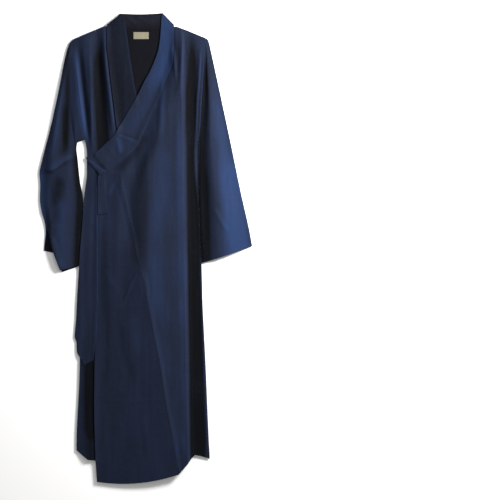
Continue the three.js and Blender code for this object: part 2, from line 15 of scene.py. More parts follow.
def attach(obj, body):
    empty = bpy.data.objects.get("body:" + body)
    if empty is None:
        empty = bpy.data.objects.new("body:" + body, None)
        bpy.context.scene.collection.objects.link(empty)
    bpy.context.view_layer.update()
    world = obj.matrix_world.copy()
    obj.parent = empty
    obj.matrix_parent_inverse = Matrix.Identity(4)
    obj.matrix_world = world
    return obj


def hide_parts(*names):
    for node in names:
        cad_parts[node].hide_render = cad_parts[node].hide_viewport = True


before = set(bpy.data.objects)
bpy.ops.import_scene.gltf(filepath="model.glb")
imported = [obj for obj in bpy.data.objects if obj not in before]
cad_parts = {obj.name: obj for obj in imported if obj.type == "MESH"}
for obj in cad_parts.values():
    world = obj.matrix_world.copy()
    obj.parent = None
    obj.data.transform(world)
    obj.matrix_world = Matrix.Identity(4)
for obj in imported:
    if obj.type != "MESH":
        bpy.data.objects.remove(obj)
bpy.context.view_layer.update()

bl_info = {
    "name": "Wrap robe",
    "version": (1, 0, 0),
    "blender": (4, 5, 0),
    "location": "View3D > Sidebar > Robe",
    "description": "Builds a long wrap robe with its cloth, folds, stitching and stage",
    "category": "Add Mesh",
}

# Plan sizes, in millimetres
LENGTH = 1299  # collar top to the lowest point of the hem
MIDDLE = 0.75  # the middle of the outline's box lies this far right of the middle line
CLOTH = 2.0  # top of a piece over its underside, seams and hems included
SEAM = 0.3  # gap between pieces that are sewn together
REST = CLOTH + SEAM  # underside of what lies on the back
FOLDED_EDGE = REST + SEAM
LAID = 0.5  # gap under a piece that is laid over another
ARM_LIFT = 6  # how far the arm's room lifts the middle of an armhole's seam
SHOULDER_ROLL = 26  # length over which a front rolls down to its shoulder seam
CELL = 3.0  # plan grid of the cloth
BACK_CELL = 5  # plan grid of the back, which is flat
RIM_SHARE = 0.2  # how far into its outermost cells a piece starts to turn at its rim
GROUND_CELL = 2.5  # grid of the heights that a piece is laid on

# Relief that is in the materials alone, in metres
RUMPLE_DEPTH = 0.004
THREAD_DEPTH = 0.00018


# Sizes and colours that a user would change


def colour(name, description, default):
    kind = {"subtype": "COLOR", "min": 0, "max": 1}
    return FloatVectorProperty(name=name, description=description, default=default, **kind)


def quantity(name, description, default, unit="LENGTH"):
    return FloatProperty(name=name, description=description, default=default, unit=unit)


class RobeCloth(PropertyGroup):
    """Sizes and colours of the cloth"""

    main: colour("Cloth", "Navy of the right side", (0.0079, 0.0120, 0.0272))
    # Painted shade: the colour that the cloth takes in its valleys, recesses and dark bands
    painted_fold_shade: colour("Painted fold shade", "Painted shade in the folds", (0.0004, 0.0005, 0.0009))
    # Painted highlight on crests and pale bands, and also the real wear of rubbed hems and edges
    worn: colour("Lit crests and worn edges", "Painted highlight on crests, and wear on the edges", (0.0125, 0.0255, 0.0720))
    # The wrong side, darkened as painted shade where it shows in the neck opening and inside the sleeves
    inside: colour("Inside", "Wrong side of the cloth, darkened as painted shade", (0.0022, 0.0024, 0.0042))
    label: colour("Label", "Cream of the woven label", (0.180, 0.166, 0.118))
    thread: colour("Thread", "Sewing thread", (0.008, 0.012, 0.026))
    wall: quantity("Wall", "Thickness of one layer", 0.0013)
    band_wall: quantity("Band wall", "Thickness of the collar band and the ties", 0.0011)
    thread_pitch: quantity("Thread pitch", "From one thread of the weave to the next", 0.00055)
    stitch_pitch: quantity("Stitch pitch", "From one stitch to the next", 0.0034)
    stitch_length: quantity("Stitch length", "Thread that shows of each stitch", 0.0025)
    stitch_width: quantity("Stitch width", "Thickness of the sewing thread", 0.0006)


class RobeStage(PropertyGroup):
    """Sizes of the stage"""

    view_height: quantity("Camera height", "Camera over the floor", 4.0)
    view_across: quantity("View across", "Width of the floor that the camera frames", 1.380)
    view_x: quantity("View X", "Middle of the view across", 0.2866)
    view_y: quantity("View Y", "Middle of the view up", -0.0054)
    key_power: quantity("Key light", "Power of the key light", 64, "POWER")
    fill_power: quantity("Fill light", "Power of the fill light", 14, "POWER")
    ambient: quantity("Room light", "Brightness of the room", 0.42, "NONE")
    floor: colour("Floor", "Colour of the floor", (0.96, 0.96, 0.96))


# Forms of the cloth


def table(names, rows):
    """Rows of numbers as one array for each named column."""
    return {name: np.array(column, float) for name, column in zip(names.split(), zip(*rows))}


def mix(a, b, q):
    return a + (b - a) * q


def smooth(q):
    q = np.clip(q, 0, 1)
    return q * q * (3 - 2 * q)


def soft_max(a, b):
    """The larger of two heights, with the corner between them rounded over about 1 mm."""
    return 0.5 * (a + b + np.sqrt((a - b) ** 2 + 1))


def curve(rows, key, by="down"):
    """Smooth curve through one column of a table, as a function of another."""
    at, value = rows[by], rows[key]
    span = np.diff(at)
    slope = np.diff(value) / span
    before = np.concatenate((slope[:1], slope))
    after = np.concatenate((slope, slope[-1:]))
    same = before * after > 0
    tangent = np.where(same, 2 * before * after / np.where(same, before + after, 1), 0)

    def read(place):
        place = np.clip(place, at[0], at[-1])
        i = np.clip(np.searchsorted(at, place, side="right") - 1, 0, len(span) - 1)
        q = (place - at[i]) / span[i]
        leave = q * (1 - q) ** 2 * tangent[i] * span[i]
        arrive = q * q * (1 - q) * tangent[i + 1] * span[i]
        return mix(value[i], value[i + 1], smooth(q)) + leave - arrive

    return read


def rounded(path):
    """A smooth line through a fold's places, in six steps from each to the next."""
    p = np.array(path, float)
    if len(p) < 3:
        return p
    ends = np.vstack((2 * p[0] - p[1], p, 2 * p[-1] - p[-2]))
    q = np.arange(6)[:, None] / 6
    spans = []
    for a, b, c, d in zip(ends, ends[1:], ends[2:], ends[3:]):
        square, cube = 2 * a - 5 * b + 4 * c - d, 3 * b - a - 3 * c + d
        spans.append(0.5 * (2 * b + (c - a) * q + square * q**2 + cube * q**3))
    return np.vstack([*spans, p[-1:]])


def beside(path, x, down):
    """How far points are from a line, on which side (1 is west of one that runs down) and how far along."""
    gap = np.full(x.shape, np.inf)
    side = np.ones(x.shape)
    along = np.zeros(x.shape)
    walked = 0.0
    for a, b in zip(path, path[1:]):
        run = b - a
        length = math.hypot(*run)
        q = np.clip(((x - a[0]) * run[0] + (down - a[1]) * run[1]) / length**2, 0, 1)
        off_x, off_down = x - a[0] - run[0] * q, down - a[1] - run[1] * q
        far = np.hypot(off_x, off_down)
        near = far < gap
        turned = np.where(run[0] * off_down - run[1] * off_x >= 0, 1.0, -1.0)
        gap, side = np.where(near, far, gap), np.where(near, turned, side)
        along = np.where(near, walked + length * q, along)
        walked += length
    return gap, side, along, walked


# Columns of a fold: its widths to both sides, its height, the length over which it fades at both ends, how
# sharp it is from 0 to 1, and its path. A painted band's height is its painted highlight or, below 0, painted
# shade.
FOLD_COLUMNS = "west east high fade sharp path"


def folds(*rows):
    return [dict(zip(FOLD_COLUMNS.split(), (*row[:-1], rounded(row[-1])))) for row in rows]


def fold_height(rows, x, down):
    height = np.zeros(x.shape)
    for fold in rows:
        gap, side, along, length = beside(fold["path"], x, down)
        g = np.clip(gap / np.where(side > 0, fold["west"], fold["east"]), 0, 1)
        profile = mix(1 - smooth(g), (1 - g) ** 2, fold["sharp"])
        ends = smooth(along / fold["fade"]) * smooth((length - along) / fold["fade"])
        height += fold["high"] * profile * ends
    return height


WAVES = table(
    "length angle high phase",
    [
        (150, 8, 0.9, 0.4), (97, -24, 0.6, 1.9), (61, 14, 0.34, 4.0), (38, -9, 0.16, 2.6),
],
)


def waves(x, down):
    """Slow, uneven rise and fall of cloth that has been folded and worn."""
    bent = x + 16 * np.sin(down / 83 + x / 190)
    total = np.zeros(x.shape)
    for span, angle, high, phase in zip(*WAVES.values()):
        turn = math.radians(angle)
        walk = 2 * math.pi * (bent * math.cos(turn) + down * math.sin(turn)) / span + phase
        uneven = 0.6 + 0.4 * np.sin(down / (1.7 * span) + phase)
        total += high * uneven * 0.5 * (1 + np.sin(walk))
    return total


def make_form(rails, across, height, creases=(), painted_light_bands=()):
    """A form of cloth: places and heights of its rails (crests, valleys and edges), its folds and painted
    shading.
    """
    names = "down " + rails
    plan, level = table(names, across), table(names, height)
    rails = rails.split()
    return {
        "rails": rails,
        "across": {rail: curve(plan, rail) for rail in rails},
        "height": {rail: curve(level, rail) for rail in rails},
        "folds": list(creases),
        "painted_light_bands": list(painted_light_bands),
    }


def form_height(form, x, down):
    place = np.array([form["across"][rail](down) for rail in form["rails"]])
    level = np.array([form["height"][rail](down) for rail in form["rails"]])
    i = np.clip((place <= x).sum(0) - 1, 0, len(form["rails"]) - 2)[None]
    here, there = np.take_along_axis(place, i, 0)[0], np.take_along_axis(place, i + 1, 0)[0]
    low, high = np.take_along_axis(level, i, 0)[0], np.take_along_axis(level, i + 1, 0)[0]
    q = (x - here) / np.maximum(0.001, there - here)
    return mix(low, high, smooth(q)) + fold_height(form["folds"], x, down)


def plan_grid(form, ends, cell=CELL):
    """Plan grid between a form's rails, each of which starts and ends at its own place down."""
    longest = max(hem - top for top, hem in ends)
    t = np.linspace(0, 1, max(3, round(longest / cell) + 1))
    lines = []
    for rail, (top, hem) in zip(form["rails"], ends):
        down = mix(top, hem, t)
        lines.append((form["across"][rail](down), down))
    xs, downs = [lines[0][0][:, None]], [lines[0][1][:, None]]
    for (xa, da), (xb, db) in zip(lines, lines[1:]):
        steps = max(2, round(float(np.mean(np.abs(xb - xa))) / cell))
        q = np.linspace(0, 1, steps + 1)[1:]
        xs.append(mix(xa[:, None], xb[:, None], q))
        downs.append(mix(da[:, None], db[:, None], q))
    return np.hstack(xs), np.hstack(downs)


# What a piece is laid on


class Ground:
    """Heights of all the cloth that is laid so far, on a grid over the plan."""

    left, top, wide, high = -330.0, -30.0, 660, 1380

    def __init__(self):
        self.height = np.zeros((round(self.high / GROUND_CELL), round(self.wide / GROUND_CELL)))

    def add(self, x, down, z):
        for axis in (0, 1):
            x, down, z = (self.finer(a, axis) for a in (x, down, z))
        i = np.round((down - self.top) / GROUND_CELL).astype(int)
        j = np.round((x - self.left) / GROUND_CELL).astype(int)
        np.maximum.at(self.height, (i.ravel(), j.ravel()), z.ravel())

    @staticmethod
    def finer(a, axis, steps=4):
        a = np.moveaxis(a, axis, 0)
        parts = [mix(a[:-1], a[1:], s / steps) for s in range(steps)]
        fine = np.stack(parts, 1).reshape(-1, *a.shape[1:])
        return np.moveaxis(np.concatenate((fine, a[-1:])), 0, axis)

    def spread(self, heights, reach, slope):
        """Each place takes the highest level near it, less a slope."""
        out = heights.copy()
        cells = int(reach / GROUND_CELL)
        for i in range(-cells, cells + 1):
            for j in range(-cells, cells + 1):
                far = math.hypot(i, j) * GROUND_CELL
                if 0 < far <= reach:
                    out = np.maximum(out, np.roll(heights, (i, j), (0, 1)) - slope * far)
        return out

    @staticmethod
    def blur(heights, times):
        for _ in range(times):
            for axis in (0, 1):
                heights = (np.roll(heights, 1, axis) + 2 * heights + np.roll(heights, -1, axis)) / 4
        return heights

    def rest(self, x, down, reach=10, slope=0.25, blurs=6, clear=5.2):
        """Underside of a piece that is laid over what is there.

        The piece spans over what is within reach of a point and sinks beside it by slope. It is smoothed
        blurs times, and it lies over all that is within clear of the point.
        """
        hard = self.spread(self.height, clear, 0.0)
        soft = self.blur(self.spread(self.height, reach, slope), blurs)
        return self.sample(np.maximum(soft, self.blur(hard, 1)), x, down)

    def sample(self, level, x, down):
        i, j = (down - self.top) / GROUND_CELL, (x - self.left) / GROUND_CELL
        i0, j0 = np.floor(i).astype(int), np.floor(j).astype(int)
        qi, qj = i - i0, j - j0
        upper = mix(level[i0, j0], level[i0, j0 + 1], qj)
        lower = mix(level[i0 + 1, j0], level[i0 + 1, j0 + 1], qj)
        return mix(upper, lower, qi)


ground = Ground()
RELIEF_BLURS, RELIEF_HIGH, RELIEF_PAINTED_LIGHT = 16, 1.5, 0.12  # how the height over what is around it paints light and shade: a painted highlight on a crest, painted shade in a valley


def shade(form, x, down, z):
    """Painted light and shade: a painted highlight on a crest, painted shade in a valley, and the piece's own
    painted bands.
    """
    around = z
    for _ in range(RELIEF_BLURS):
        padded = np.pad(around, 1, mode="edge")
        around = (padded[:-2, 1:-1] + padded[2:, 1:-1] + padded[1:-1, :-2] + padded[1:-1, 2:]) / 4
    relief = np.clip((z - around) / RELIEF_HIGH, -1, 1)
    return np.clip(RELIEF_PAINTED_LIGHT * relief + fold_height(form["painted_light_bands"], x, down), -1, 1)


def walked(x, down, z, axis):
    """Length along the cloth's own surface, in metres, for its weave."""
    step = np.sqrt(np.diff(x, axis=axis) ** 2 + np.diff(down, axis=axis) ** 2 + np.diff(z, axis=axis) ** 2)
    start = np.zeros_like(np.take(x, [0], axis))
    return np.concatenate((start, np.cumsum(step, axis)), axis) * 0.001


# Meshes


def to_frame(x, down, z):
    return np.stack((x - MIDDLE, LENGTH / 2 - down, z), -1).reshape(-1, 3) * 0.001


def finish_mesh(name, points, faces, uv, attributes, materials, indices):
    mesh = bpy.data.meshes.new(name)
    mesh.from_pydata(points.tolist(), [], faces.tolist())
    layer = mesh.uv_layers.new(name="cloth")
    corner = np.zeros(len(mesh.loops), np.int32)
    mesh.loops.foreach_get("vertex_index", corner)
    layer.data.foreach_set("uv", uv[corner].astype(np.float32).ravel())
    for key, values in attributes.items():
        attribute = mesh.attributes.new(key, "FLOAT", "POINT")
        attribute.data.foreach_set("value", values.astype(np.float32).ravel())
    for material in materials:
        mesh.materials.append(bpy.data.materials[material])
    mesh.polygons.foreach_set("material_index", indices.astype(np.int32))
    mesh.shade_smooth()
    mesh.validate()
    piece = bpy.data.objects.new(name, mesh)
    bpy.context.scene.collection.objects.link(piece)
    return piece


def tight_rim(grid):
    """A row and a column more close inside each edge, so that the rim turns crisply."""
    for _ in range(2):
        first, last = mix(grid[:1], grid[1:2], RIM_SHARE), mix(grid[-1:], grid[-2:-1], RIM_SHARE)
        grid = np.concatenate((grid[:1], first, grid[1:-1], last, grid[-1:])).T
    return grid


# The edges of a grid, and the edge across from each
EDGES = {"top": np.s_[0], "hem": np.s_[-1], "left": np.s_[:, 0], "right": np.s_[:, -1]}
ACROSS = {"top": "hem", "hem": "top", "left": "right", "right": "left"}
# The outside cloth, and the inside cloth whose dark colour is painted shade
OUT, IN = "robe cloth", "robe inside shaded"
THINNEST = 0.4  # wall of a piece that lies flat


def wall_piece(name, x, down, top, wall, tone, worn=(), materials=(OUT, IN), flat_under=None, bulge=0.3):
    """A closed thin wall under a grid of heights. Its rim bulges a little, and its worn sides are rubbed."""
    x, down, top, tone = (tight_rim(grid) for grid in (x, down, top, tone))
    rows, columns = x.shape
    low = top - wall if flat_under is None else np.full_like(top, flat_under)
    if flat_under is not None:
        top = np.maximum(top, flat_under + THINNEST)
    number = np.arange(rows * columns).reshape(rows, columns)
    rim = np.concatenate((number[0], number[1:, -1], number[-1, -2::-1], number[-2:0:-1, 0]))
    flat_x, flat_down, flat_top, flat_low = (a.ravel() for a in (x, down, top, low))
    after, before = np.roll(rim, -1), np.roll(rim, 1)
    out = np.stack((-(flat_down[before] - flat_down[after]), flat_x[before] - flat_x[after]), -1)
    out = out / np.maximum(1e-6, np.hypot(out[:, 0], out[:, 1]))[:, None]
    mid_x, mid_down = flat_x[rim] - out[:, 0] * bulge, flat_down[rim] - out[:, 1] * bulge
    mid_z = (flat_top[rim] + flat_low[rim]) / 2
    points = np.vstack((to_frame(x, down, top), to_frame(x, down, low), to_frame(mid_x, mid_down, mid_z)))
    corners = number[:-1, :-1], number[1:, :-1], number[1:, 1:], number[:-1, 1:]
    half = rows * columns
    upper = np.stack([corner.ravel() for corner in corners], -1)
    lower = upper[:, [0, 3, 2, 1]] + half
    ring = np.arange(len(rim)) + 2 * half
    ring_after = np.roll(ring, -1)
    side_up = np.stack((rim, after, ring_after, ring), -1)
    side_low = np.stack((ring, ring_after, after + half, rim + half), -1)
    faces = np.vstack((upper, lower, side_up, side_low))
    indices = np.repeat((0, 1, 0), (len(upper), len(lower), 2 * len(ring)))
    u, v = walked(x, down, top, 1).ravel(), walked(x, down, top, 0).ravel()
    uv = np.stack((np.concatenate((u, u, u[rim])), np.concatenate((v, v, v[rim]))), -1)
    edge = np.zeros((rows, columns))
    for side in worn:
        edge[EDGES[side]] = 1
    edge = edge.ravel()
    # The fold attribute carries the painted light and shade of the upper face and its rim; the underside gets
    # none
    attributes = {
        "fold": np.concatenate((tone.ravel(), np.zeros(half), tone.ravel()[rim])),
        "edge": np.concatenate((edge, edge, edge[rim])),
    }
    return finish_mesh(name, points, faces, uv, attributes, materials, indices)


def dress(piece, node, slot, flat, area, rests_on, with_pieces=()):
    """The cloth takes its solid's place: it is attached to the root, and its solid is hidden."""
    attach(piece, "root")
    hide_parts(node)


# Materials


def node(tree, kind, inputs=None, **settings):
    new = tree.nodes.new(kind)
    for key, value in settings.items():
        setattr(new, key, value)
    for key, value in (inputs or {}).items():
        if isinstance(value, bpy.types.NodeSocket):
            tree.links.new(value, new.inputs[key])
        else:
            new.inputs[key].default_value = value
    return new


def maths(tree, operation, *values, clamp=False):
    inputs = {i: value for i, value in enumerate(values)}
    return node(tree, "ShaderNodeMath", inputs, operation=operation, use_clamp=clamp).outputs[0]


def noise(tree, place, scale, detail, **more):
    """Noise with its own scale along each axis, so that it can be drawn out."""
    drawn = node(tree, "ShaderNodeMapping", {"Vector": place, "Scale": scale})
    inputs = {"Vector": drawn.outputs[0], "Scale": 1.0, "Detail": detail, **more}
    return node(tree, "ShaderNodeTexNoise", inputs).outputs["Fac"]


def new_group(name, inputs, outputs, kind="ShaderNodeTree"):
    group = bpy.data.node_groups.new(name, kind)
    for way, sockets in (("INPUT", inputs), ("OUTPUT", outputs)):
        for label, what in sockets:
            group.interface.new_socket(label, in_out=way, socket_type="NodeSocket" + what)
    return group, node(group, "NodeGroupInput"), node(group, "NodeGroupOutput")


def weave_group():
    """Plain weave: height of the threads over each other, and the uneven tone of spun yarn."""
    group, given, result = new_group(
        "plain_weave", [("Place", "Vector"), ("Threads", "Float")], [("Height", "Float"), ("Tone", "Float")]
    )
    place = given.outputs["Place"]
    parts = node(group, "ShaderNodeSeparateXYZ", {0: place})
    turns = maths(group, "MULTIPLY", given.outputs["Threads"], math.pi)
    wave_u, wave_v = (maths(group, "SINE", maths(group, "MULTIPLY", parts.outputs[k], turns)) for k in (0, 1))
    over = maths(group, "MULTIPLY_ADD", maths(group, "MULTIPLY", wave_u, wave_v), 0.5, 0.5)
    under = maths(group, "SUBTRACT", 1.0, over)
    warp = maths(group, "MULTIPLY", over, maths(group, "ABSOLUTE", wave_u))
    weft = maths(group, "MULTIPLY", under, maths(group, "ABSOLUTE", wave_v))
    height = maths(group, "MAXIMUM", warp, weft)
    slub = maths(group, "ADD", *(noise(group, place, scale, 2.0) for scale in ((900, 22, 1), (22, 900, 1))))
    group.links.new(maths(group, "MULTIPLY_ADD", slub, 0.35, height), result.inputs["Height"])
    group.links.new(maths(group, "SUBTRACT", slub, 1.0), result.inputs["Tone"])
    return group


def wear_group():
    """Tone of the cloth: painted light and shade from the fold attribute, rubbed wear on edges, and cloudy
    all over.
    """
    group, given, result = new_group(
        "painted_light_and_wear",
        [("Place", "Vector"), ("Painted light", "Float"), ("Edge", "Float")],
        [("Tone", "Float"), ("Soil", "Float"), ("Rumple", "Float")],
    )
    place = given.outputs["Place"]
    cloud = noise(group, place, (7.0, 7.0, 7.0), 5.0, Roughness=0.6)
    fuzz = noise(group, place, (130.0, 130.0, 130.0), 3.0)
    streak = noise(group, place, (75.0, 5.0, 75.0), 3.0, Roughness=0.6)
    rumple = noise(group, place, (24.0, 7.0, 24.0), 4.0, Distortion=0.6)
    # The attribute paints light and shade: above 0 a painted highlight, below 0 painted shade
    tone = maths(group, "MULTIPLY_ADD", given.outputs["Painted light"], 0.5, 0.5)
    for uneven, share in ((streak, 0.26), (cloud, 0.30), (fuzz, 0.16)):
        tone = maths(group, "MULTIPLY_ADD", maths(group, "SUBTRACT", uneven, 0.5), share, tone)
    rubbed = maths(group, "MULTIPLY", given.outputs["Edge"], fuzz)
    tone = maths(group, "MULTIPLY_ADD", rubbed, 0.30, tone, clamp=True)
    group.links.new(tone, result.inputs["Tone"])
    group.links.new(cloud, result.inputs["Soil"])
    group.links.new(rumple, result.inputs["Rumple"])
    return group


def cloth_material(
    name, colours, threads, roughness=0.88, sheen=0.10, tint=(0.30, 0.42, 0.90, 1), bump=0.55, yarn_tone=0.12
):
    """Woven cloth in three colours: painted fold shade, the cloth as it is, and painted highlight with edge
    wear.
    """
    material = bpy.data.materials.new(name)
    material.use_nodes = True
    tree = material.node_tree
    shader = tree.nodes["Principled BSDF"]
    uv = node(tree, "ShaderNodeUVMap", uv_map="cloth").outputs[0]
    place = node(tree, "ShaderNodeTexCoord").outputs["Object"]
    read = [node(tree, "ShaderNodeAttribute", attribute_name=key) for key in ("fold", "edge")]
    fold, edge = (attribute.outputs["Fac"] for attribute in read)
    plain_weave, light_and_wear = (bpy.data.node_groups[key] for key in ("plain_weave", "painted_light_and_wear"))
    weave = node(tree, "ShaderNodeGroup", {"Place": uv, "Threads": threads}, node_tree=plain_weave)
    wear = node(tree, "ShaderNodeGroup", {"Place": place, "Painted light": fold, "Edge": edge}, node_tree=light_and_wear)
    tone = maths(tree, "MULTIPLY_ADD", weave.outputs["Tone"], yarn_tone, wear.outputs["Tone"], clamp=True)
    ramp = node(tree, "ShaderNodeValToRGB", {0: tone})
    stops = ramp.color_ramp.elements
    stops[0].position, stops[0].color = 0.0, (*colours[0], 1)
    stops[1].position, stops[1].color = 1.0, (*colours[2], 1)
    stops.new(0.5).color = (*colours[1], 1)
    tree.links.new(ramp.outputs[0], shader.inputs["Base Color"])
    rough = maths(tree, "MULTIPLY_ADD", wear.outputs["Soil"], 0.16, roughness - 0.08, clamp=True)
    tree.links.new(rough, shader.inputs["Roughness"])
    relief = None
    for height, strength, depth in (
        (wear.outputs["Rumple"], 0.6, RUMPLE_DEPTH),
        (weave.outputs["Height"], bump, THREAD_DEPTH),
    ):
        inputs = {"Height": height, "Strength": strength, "Distance": depth}
        if relief:
            inputs["Normal"] = relief
        relief = node(tree, "ShaderNodeBump", inputs).outputs[0]
    tree.links.new(relief, shader.inputs["Normal"])
    sheen = {"Sheen Weight": sheen, "Sheen Roughness": 0.45, "Sheen Tint": tint, "Specular IOR Level": 0.10}
    for key, value in sheen.items():
        shader.inputs[key].default_value = value
    return material


def make_materials(cloth):
    weave_group()
    wear_group()
    threads = 1 / cloth.thread_pitch
    # Painted shade, the cloth's own navy, and painted highlight with edge wear
    cloth_material("robe cloth", (cloth.painted_fold_shade, cloth.main, cloth.worn), threads)
    # The inside material: the wrong side darkened as painted shade, a darker copy, and a copy 2.8 times paler
    # where less painted shade is wanted
    dark = [c * 0.6 for c in cloth.inside]
    light = [c * 2.8 for c in cloth.inside]
    cloth_material("robe inside shaded", (dark, cloth.inside, light), threads, 0.94, 0.04, (0.5, 0.5, 0.6, 1.0))
    cream = [c * 0.75 for c in cloth.label]
    pale = [min(1, c * 1.25) for c in cloth.label]
    cloth_material("robe label", (cream, cloth.label, pale), threads * 1.6, 0.6, 0.1, (1, 1, 1, 1), 0.5, 0.3)
    thread = [c * 1.4 for c in cloth.thread]
    cloth_material("robe thread", (cloth.thread, cloth.thread, thread), threads * 2, 0.7, 0.2)


def cloth_of(context):
    """Sizes and colours of the cloth, once its materials are made."""
    cloth = context.scene.robe_cloth
    if "robe cloth" not in bpy.data.materials:
        make_materials(cloth)
    return cloth


# Stitching


STITCH_GUIDE = 1.7  # millimetres from one place of a stitch line's guide to the next
STITCH_SINK = 0.15
WELL_ABOVE = 200.0  # from where the lines are dropped on the cloth
# How far inside its edge each stitch line runs
HEM_SEAM, LAP_HEM_SEAM, LAP_SEAM, EDGE_SEAM, SIDE_SEAM = 22, 24, 20, 3, 2.5
BAND_SEAM, NARROW_SEAM, LABEL_SEAM = 2.2, 2, 1.6


def stitch_tree():
    """Stitches along the edges of a mesh: evenly spaced, lying along the line."""
    sizes = [(label, "Float") for label in ("Pitch", "Length", "Width")]
    inputs = [("Geometry", "Geometry"), ("Thread", "Material"), *sizes]
    tree, given, result = new_group("stitch_line", inputs, [("Geometry", "Geometry")], "GeometryNodeTree")
    line = node(tree, "GeometryNodeMeshToCurve", {0: given.outputs["Geometry"]})
    spacing = {"Curve": line.outputs[0], "Length": given.outputs["Pitch"]}
    spaced = node(tree, "GeometryNodeResampleCurve", spacing, mode="LENGTH")
    stitch = node(tree, "GeometryNodeMeshUVSphere", {"Segments": 5, "Rings": 3, "Radius": 0.5})
    width, long = given.outputs["Width"], given.outputs["Length"]
    size = node(tree, "ShaderNodeCombineXYZ", {0: width, 1: width, 2: long})
    tangent = node(tree, "GeometryNodeInputTangent")
    turn = node(tree, "FunctionNodeAlignRotationToVector", {"Vector": tangent.outputs[0]}, axis="Z")
    parts = {"Points": spaced, "Instance": stitch, "Rotation": turn, "Scale": size}
    placed = node(tree, "GeometryNodeInstanceOnPoints", {key: part.outputs[0] for key, part in parts.items()})
    real = node(tree, "GeometryNodeRealizeInstances", {0: placed.outputs[0]})
    paint = {"Geometry": real.outputs[0], "Material": given.outputs["Thread"]}
    painted = node(tree, "GeometryNodeSetMaterial", paint)
    tree.links.new(painted.outputs[0], result.inputs[0])
    return tree


def sew(name, piece, lines, cloth, thread="robe thread"):
    """Stitches along plan lines, laid on the piece's upper face and sunk a little into it."""
    mesh = piece.data
    tree = BVHTree.FromPolygons([v.co for v in mesh.vertices], [tuple(p.vertices) for p in mesh.polygons])
    points, edges = [], []
    for line in lines:
        line = np.array(line, float)
        far = np.concatenate(([0], np.cumsum(np.hypot(*np.diff(line, axis=0).T))))
        at = np.arange(0, far[-1], STITCH_GUIDE)
        x, down = np.interp(at, far, line[:, 0]), np.interp(at, far, line[:, 1])
        run = []
        for place in to_frame(x, down, np.full_like(x, WELL_ABOVE)):
            hit = tree.ray_cast(Vector(place), Vector((0, 0, -1)))[0]
            if hit is not None:
                run.append((hit.x, hit.y, hit.z - STITCH_SINK * 0.001))
        first = len(points)
        points += run
        edges += [(k, k + 1) for k in range(first, len(points) - 1)]
    guide = bpy.data.meshes.new(name + "_line")
    guide.from_pydata(points, edges, [])
    holder = bpy.data.objects.new(name + "_line", guide)
    bpy.context.scene.collection.objects.link(holder)
    modifier = holder.modifiers.new("stitches", "NODES")
    modifier.node_group = bpy.data.node_groups.get("stitch_line") or stitch_tree()
    sizes = {"Pitch": cloth.stitch_pitch, "Length": cloth.stitch_length, "Width": cloth.stitch_width}
    sizes["Thread"] = bpy.data.materials[thread]
    for item in modifier.node_group.interface.items_tree:
        if item.in_out == "INPUT" and item.name in sizes:
            modifier[item.identifier] = sizes[item.name]
    bpy.context.view_layer.update()
    made = bpy.data.meshes.new_from_object(holder.evaluated_get(bpy.context.evaluated_depsgraph_get()))
    bpy.data.objects.remove(holder)
    if not made.polygons:
        raise RuntimeError(name + " has no stitches")
    made.name = name
    made.shade_smooth()
    stitches = bpy.data.objects.new(name, made)
    bpy.context.scene.collection.objects.link(stitches)
    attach(stitches, "root")
    return stitches


def inset(x, down, side, gap):
    """A line inside one edge of a plan grid, a given gap in from it."""
    edge, other = EDGES[side], EDGES[ACROSS[side]]
    run_x, run_down = x[other] - x[edge], down[other] - down[edge]
    away = np.maximum(1e-6, np.hypot(run_x, run_down))
    line = np.stack((x[edge] + run_x / away * gap, down[edge] + run_down / away * gap), -1)
    return line[2:-2]


# The body


# Place down, and the body's left and right side there
SIDES = [
    (72, -200, 165.6), (110, -196, 163.3), (180, -187.7, 159), (260, -178.5, 154), (351, -168, 148),
    (388, -162, 144.5), (430, -162, 144.5), (476, -164, 145.5), (525, -171.5, 146.8), (572, -174, 148),
    (641, -177.5, 151), (700, -180, 154), (800, -181, 156.5), (975, -182, 165), (1097, -187, 170),
    (1199, -191, 174.5), (1240, -189, 176.5),
]
SHOULDER = table(
    "across down",
    [(-202, 74), (-151, 53), (-107, 35), (-77, 44), (-15, 47), (47, 44), (78, 35), (124, 53), (168, 71)],
)
shoulder_line = curve(SHOULDER, "down", "across")


def armhole_seam(shoulder, armpit):
    """Height of an armhole's seam at each place down: the arm's room lifts its middle."""

    def height(down):
        q = np.clip((down - shoulder) / (armpit - shoulder), 0, 1)
        return FOLDED_EDGE + ARM_LIFT * 4 * q * (1 - q)

    return height


seam_left, seam_right = armhole_seam(74, 351), armhole_seam(71, 358)


def with_seam(rows, column, seam):
    """Rows of a height table whose edge follows an armhole seam."""
    return [tuple(seam(row[0]) if i == column else z for i, z in enumerate(row)) for row in rows]


def roll_off(q):
    c = 1 - np.clip(q, 0, 1)
    return np.sqrt(np.maximum(0, 1 - c * c))


def lay_panel(form, x, down, top=False, over=True, thick=CLOTH, laid=LAID, drape=()):
    """Upper face of a panel: its own form, rolled down at the shoulder and laid over what is there."""
    own = form_height(form, x, down) + waves(x, down)
    if top:
        own = mix(FOLDED_EDGE, own, roll_off((down - shoulder_line(x)) / SHOULDER_ROLL))
    if over:
        own = soft_max(own, ground.rest(x, down, *drape) + laid)
    return own + thick


NECK_LEFT, NECK_RIGHT, NECK_DOWN, NECK_DIP = -106, 77, 45, 2.4
HEM_NECK_LEFT, HEM_NECK_RIGHT = -80, 64  # where the lines down from the neck's ends meet the hem
BAND, BAND_LAID = 1.25, 0.05  # top of a collar band or tie over its underside, and its gap to what it lies on
CLOSE = (6, 0.5, 3, 2.6)  # reach, slope, blurs and clear width of a band that lies close to what is under it


def neck_curve(q):
    """How far the neck seam curves down between its ends."""
    return NECK_DIP * np.sin(math.pi * np.clip(q, 0, 1))


def back_row(down, left, right):
    q = max(0, down - NECK_DOWN) / LENGTH
    return (down, left, mix(NECK_LEFT, HEM_NECK_LEFT, q), mix(NECK_RIGHT, HEM_NECK_RIGHT, q), right)


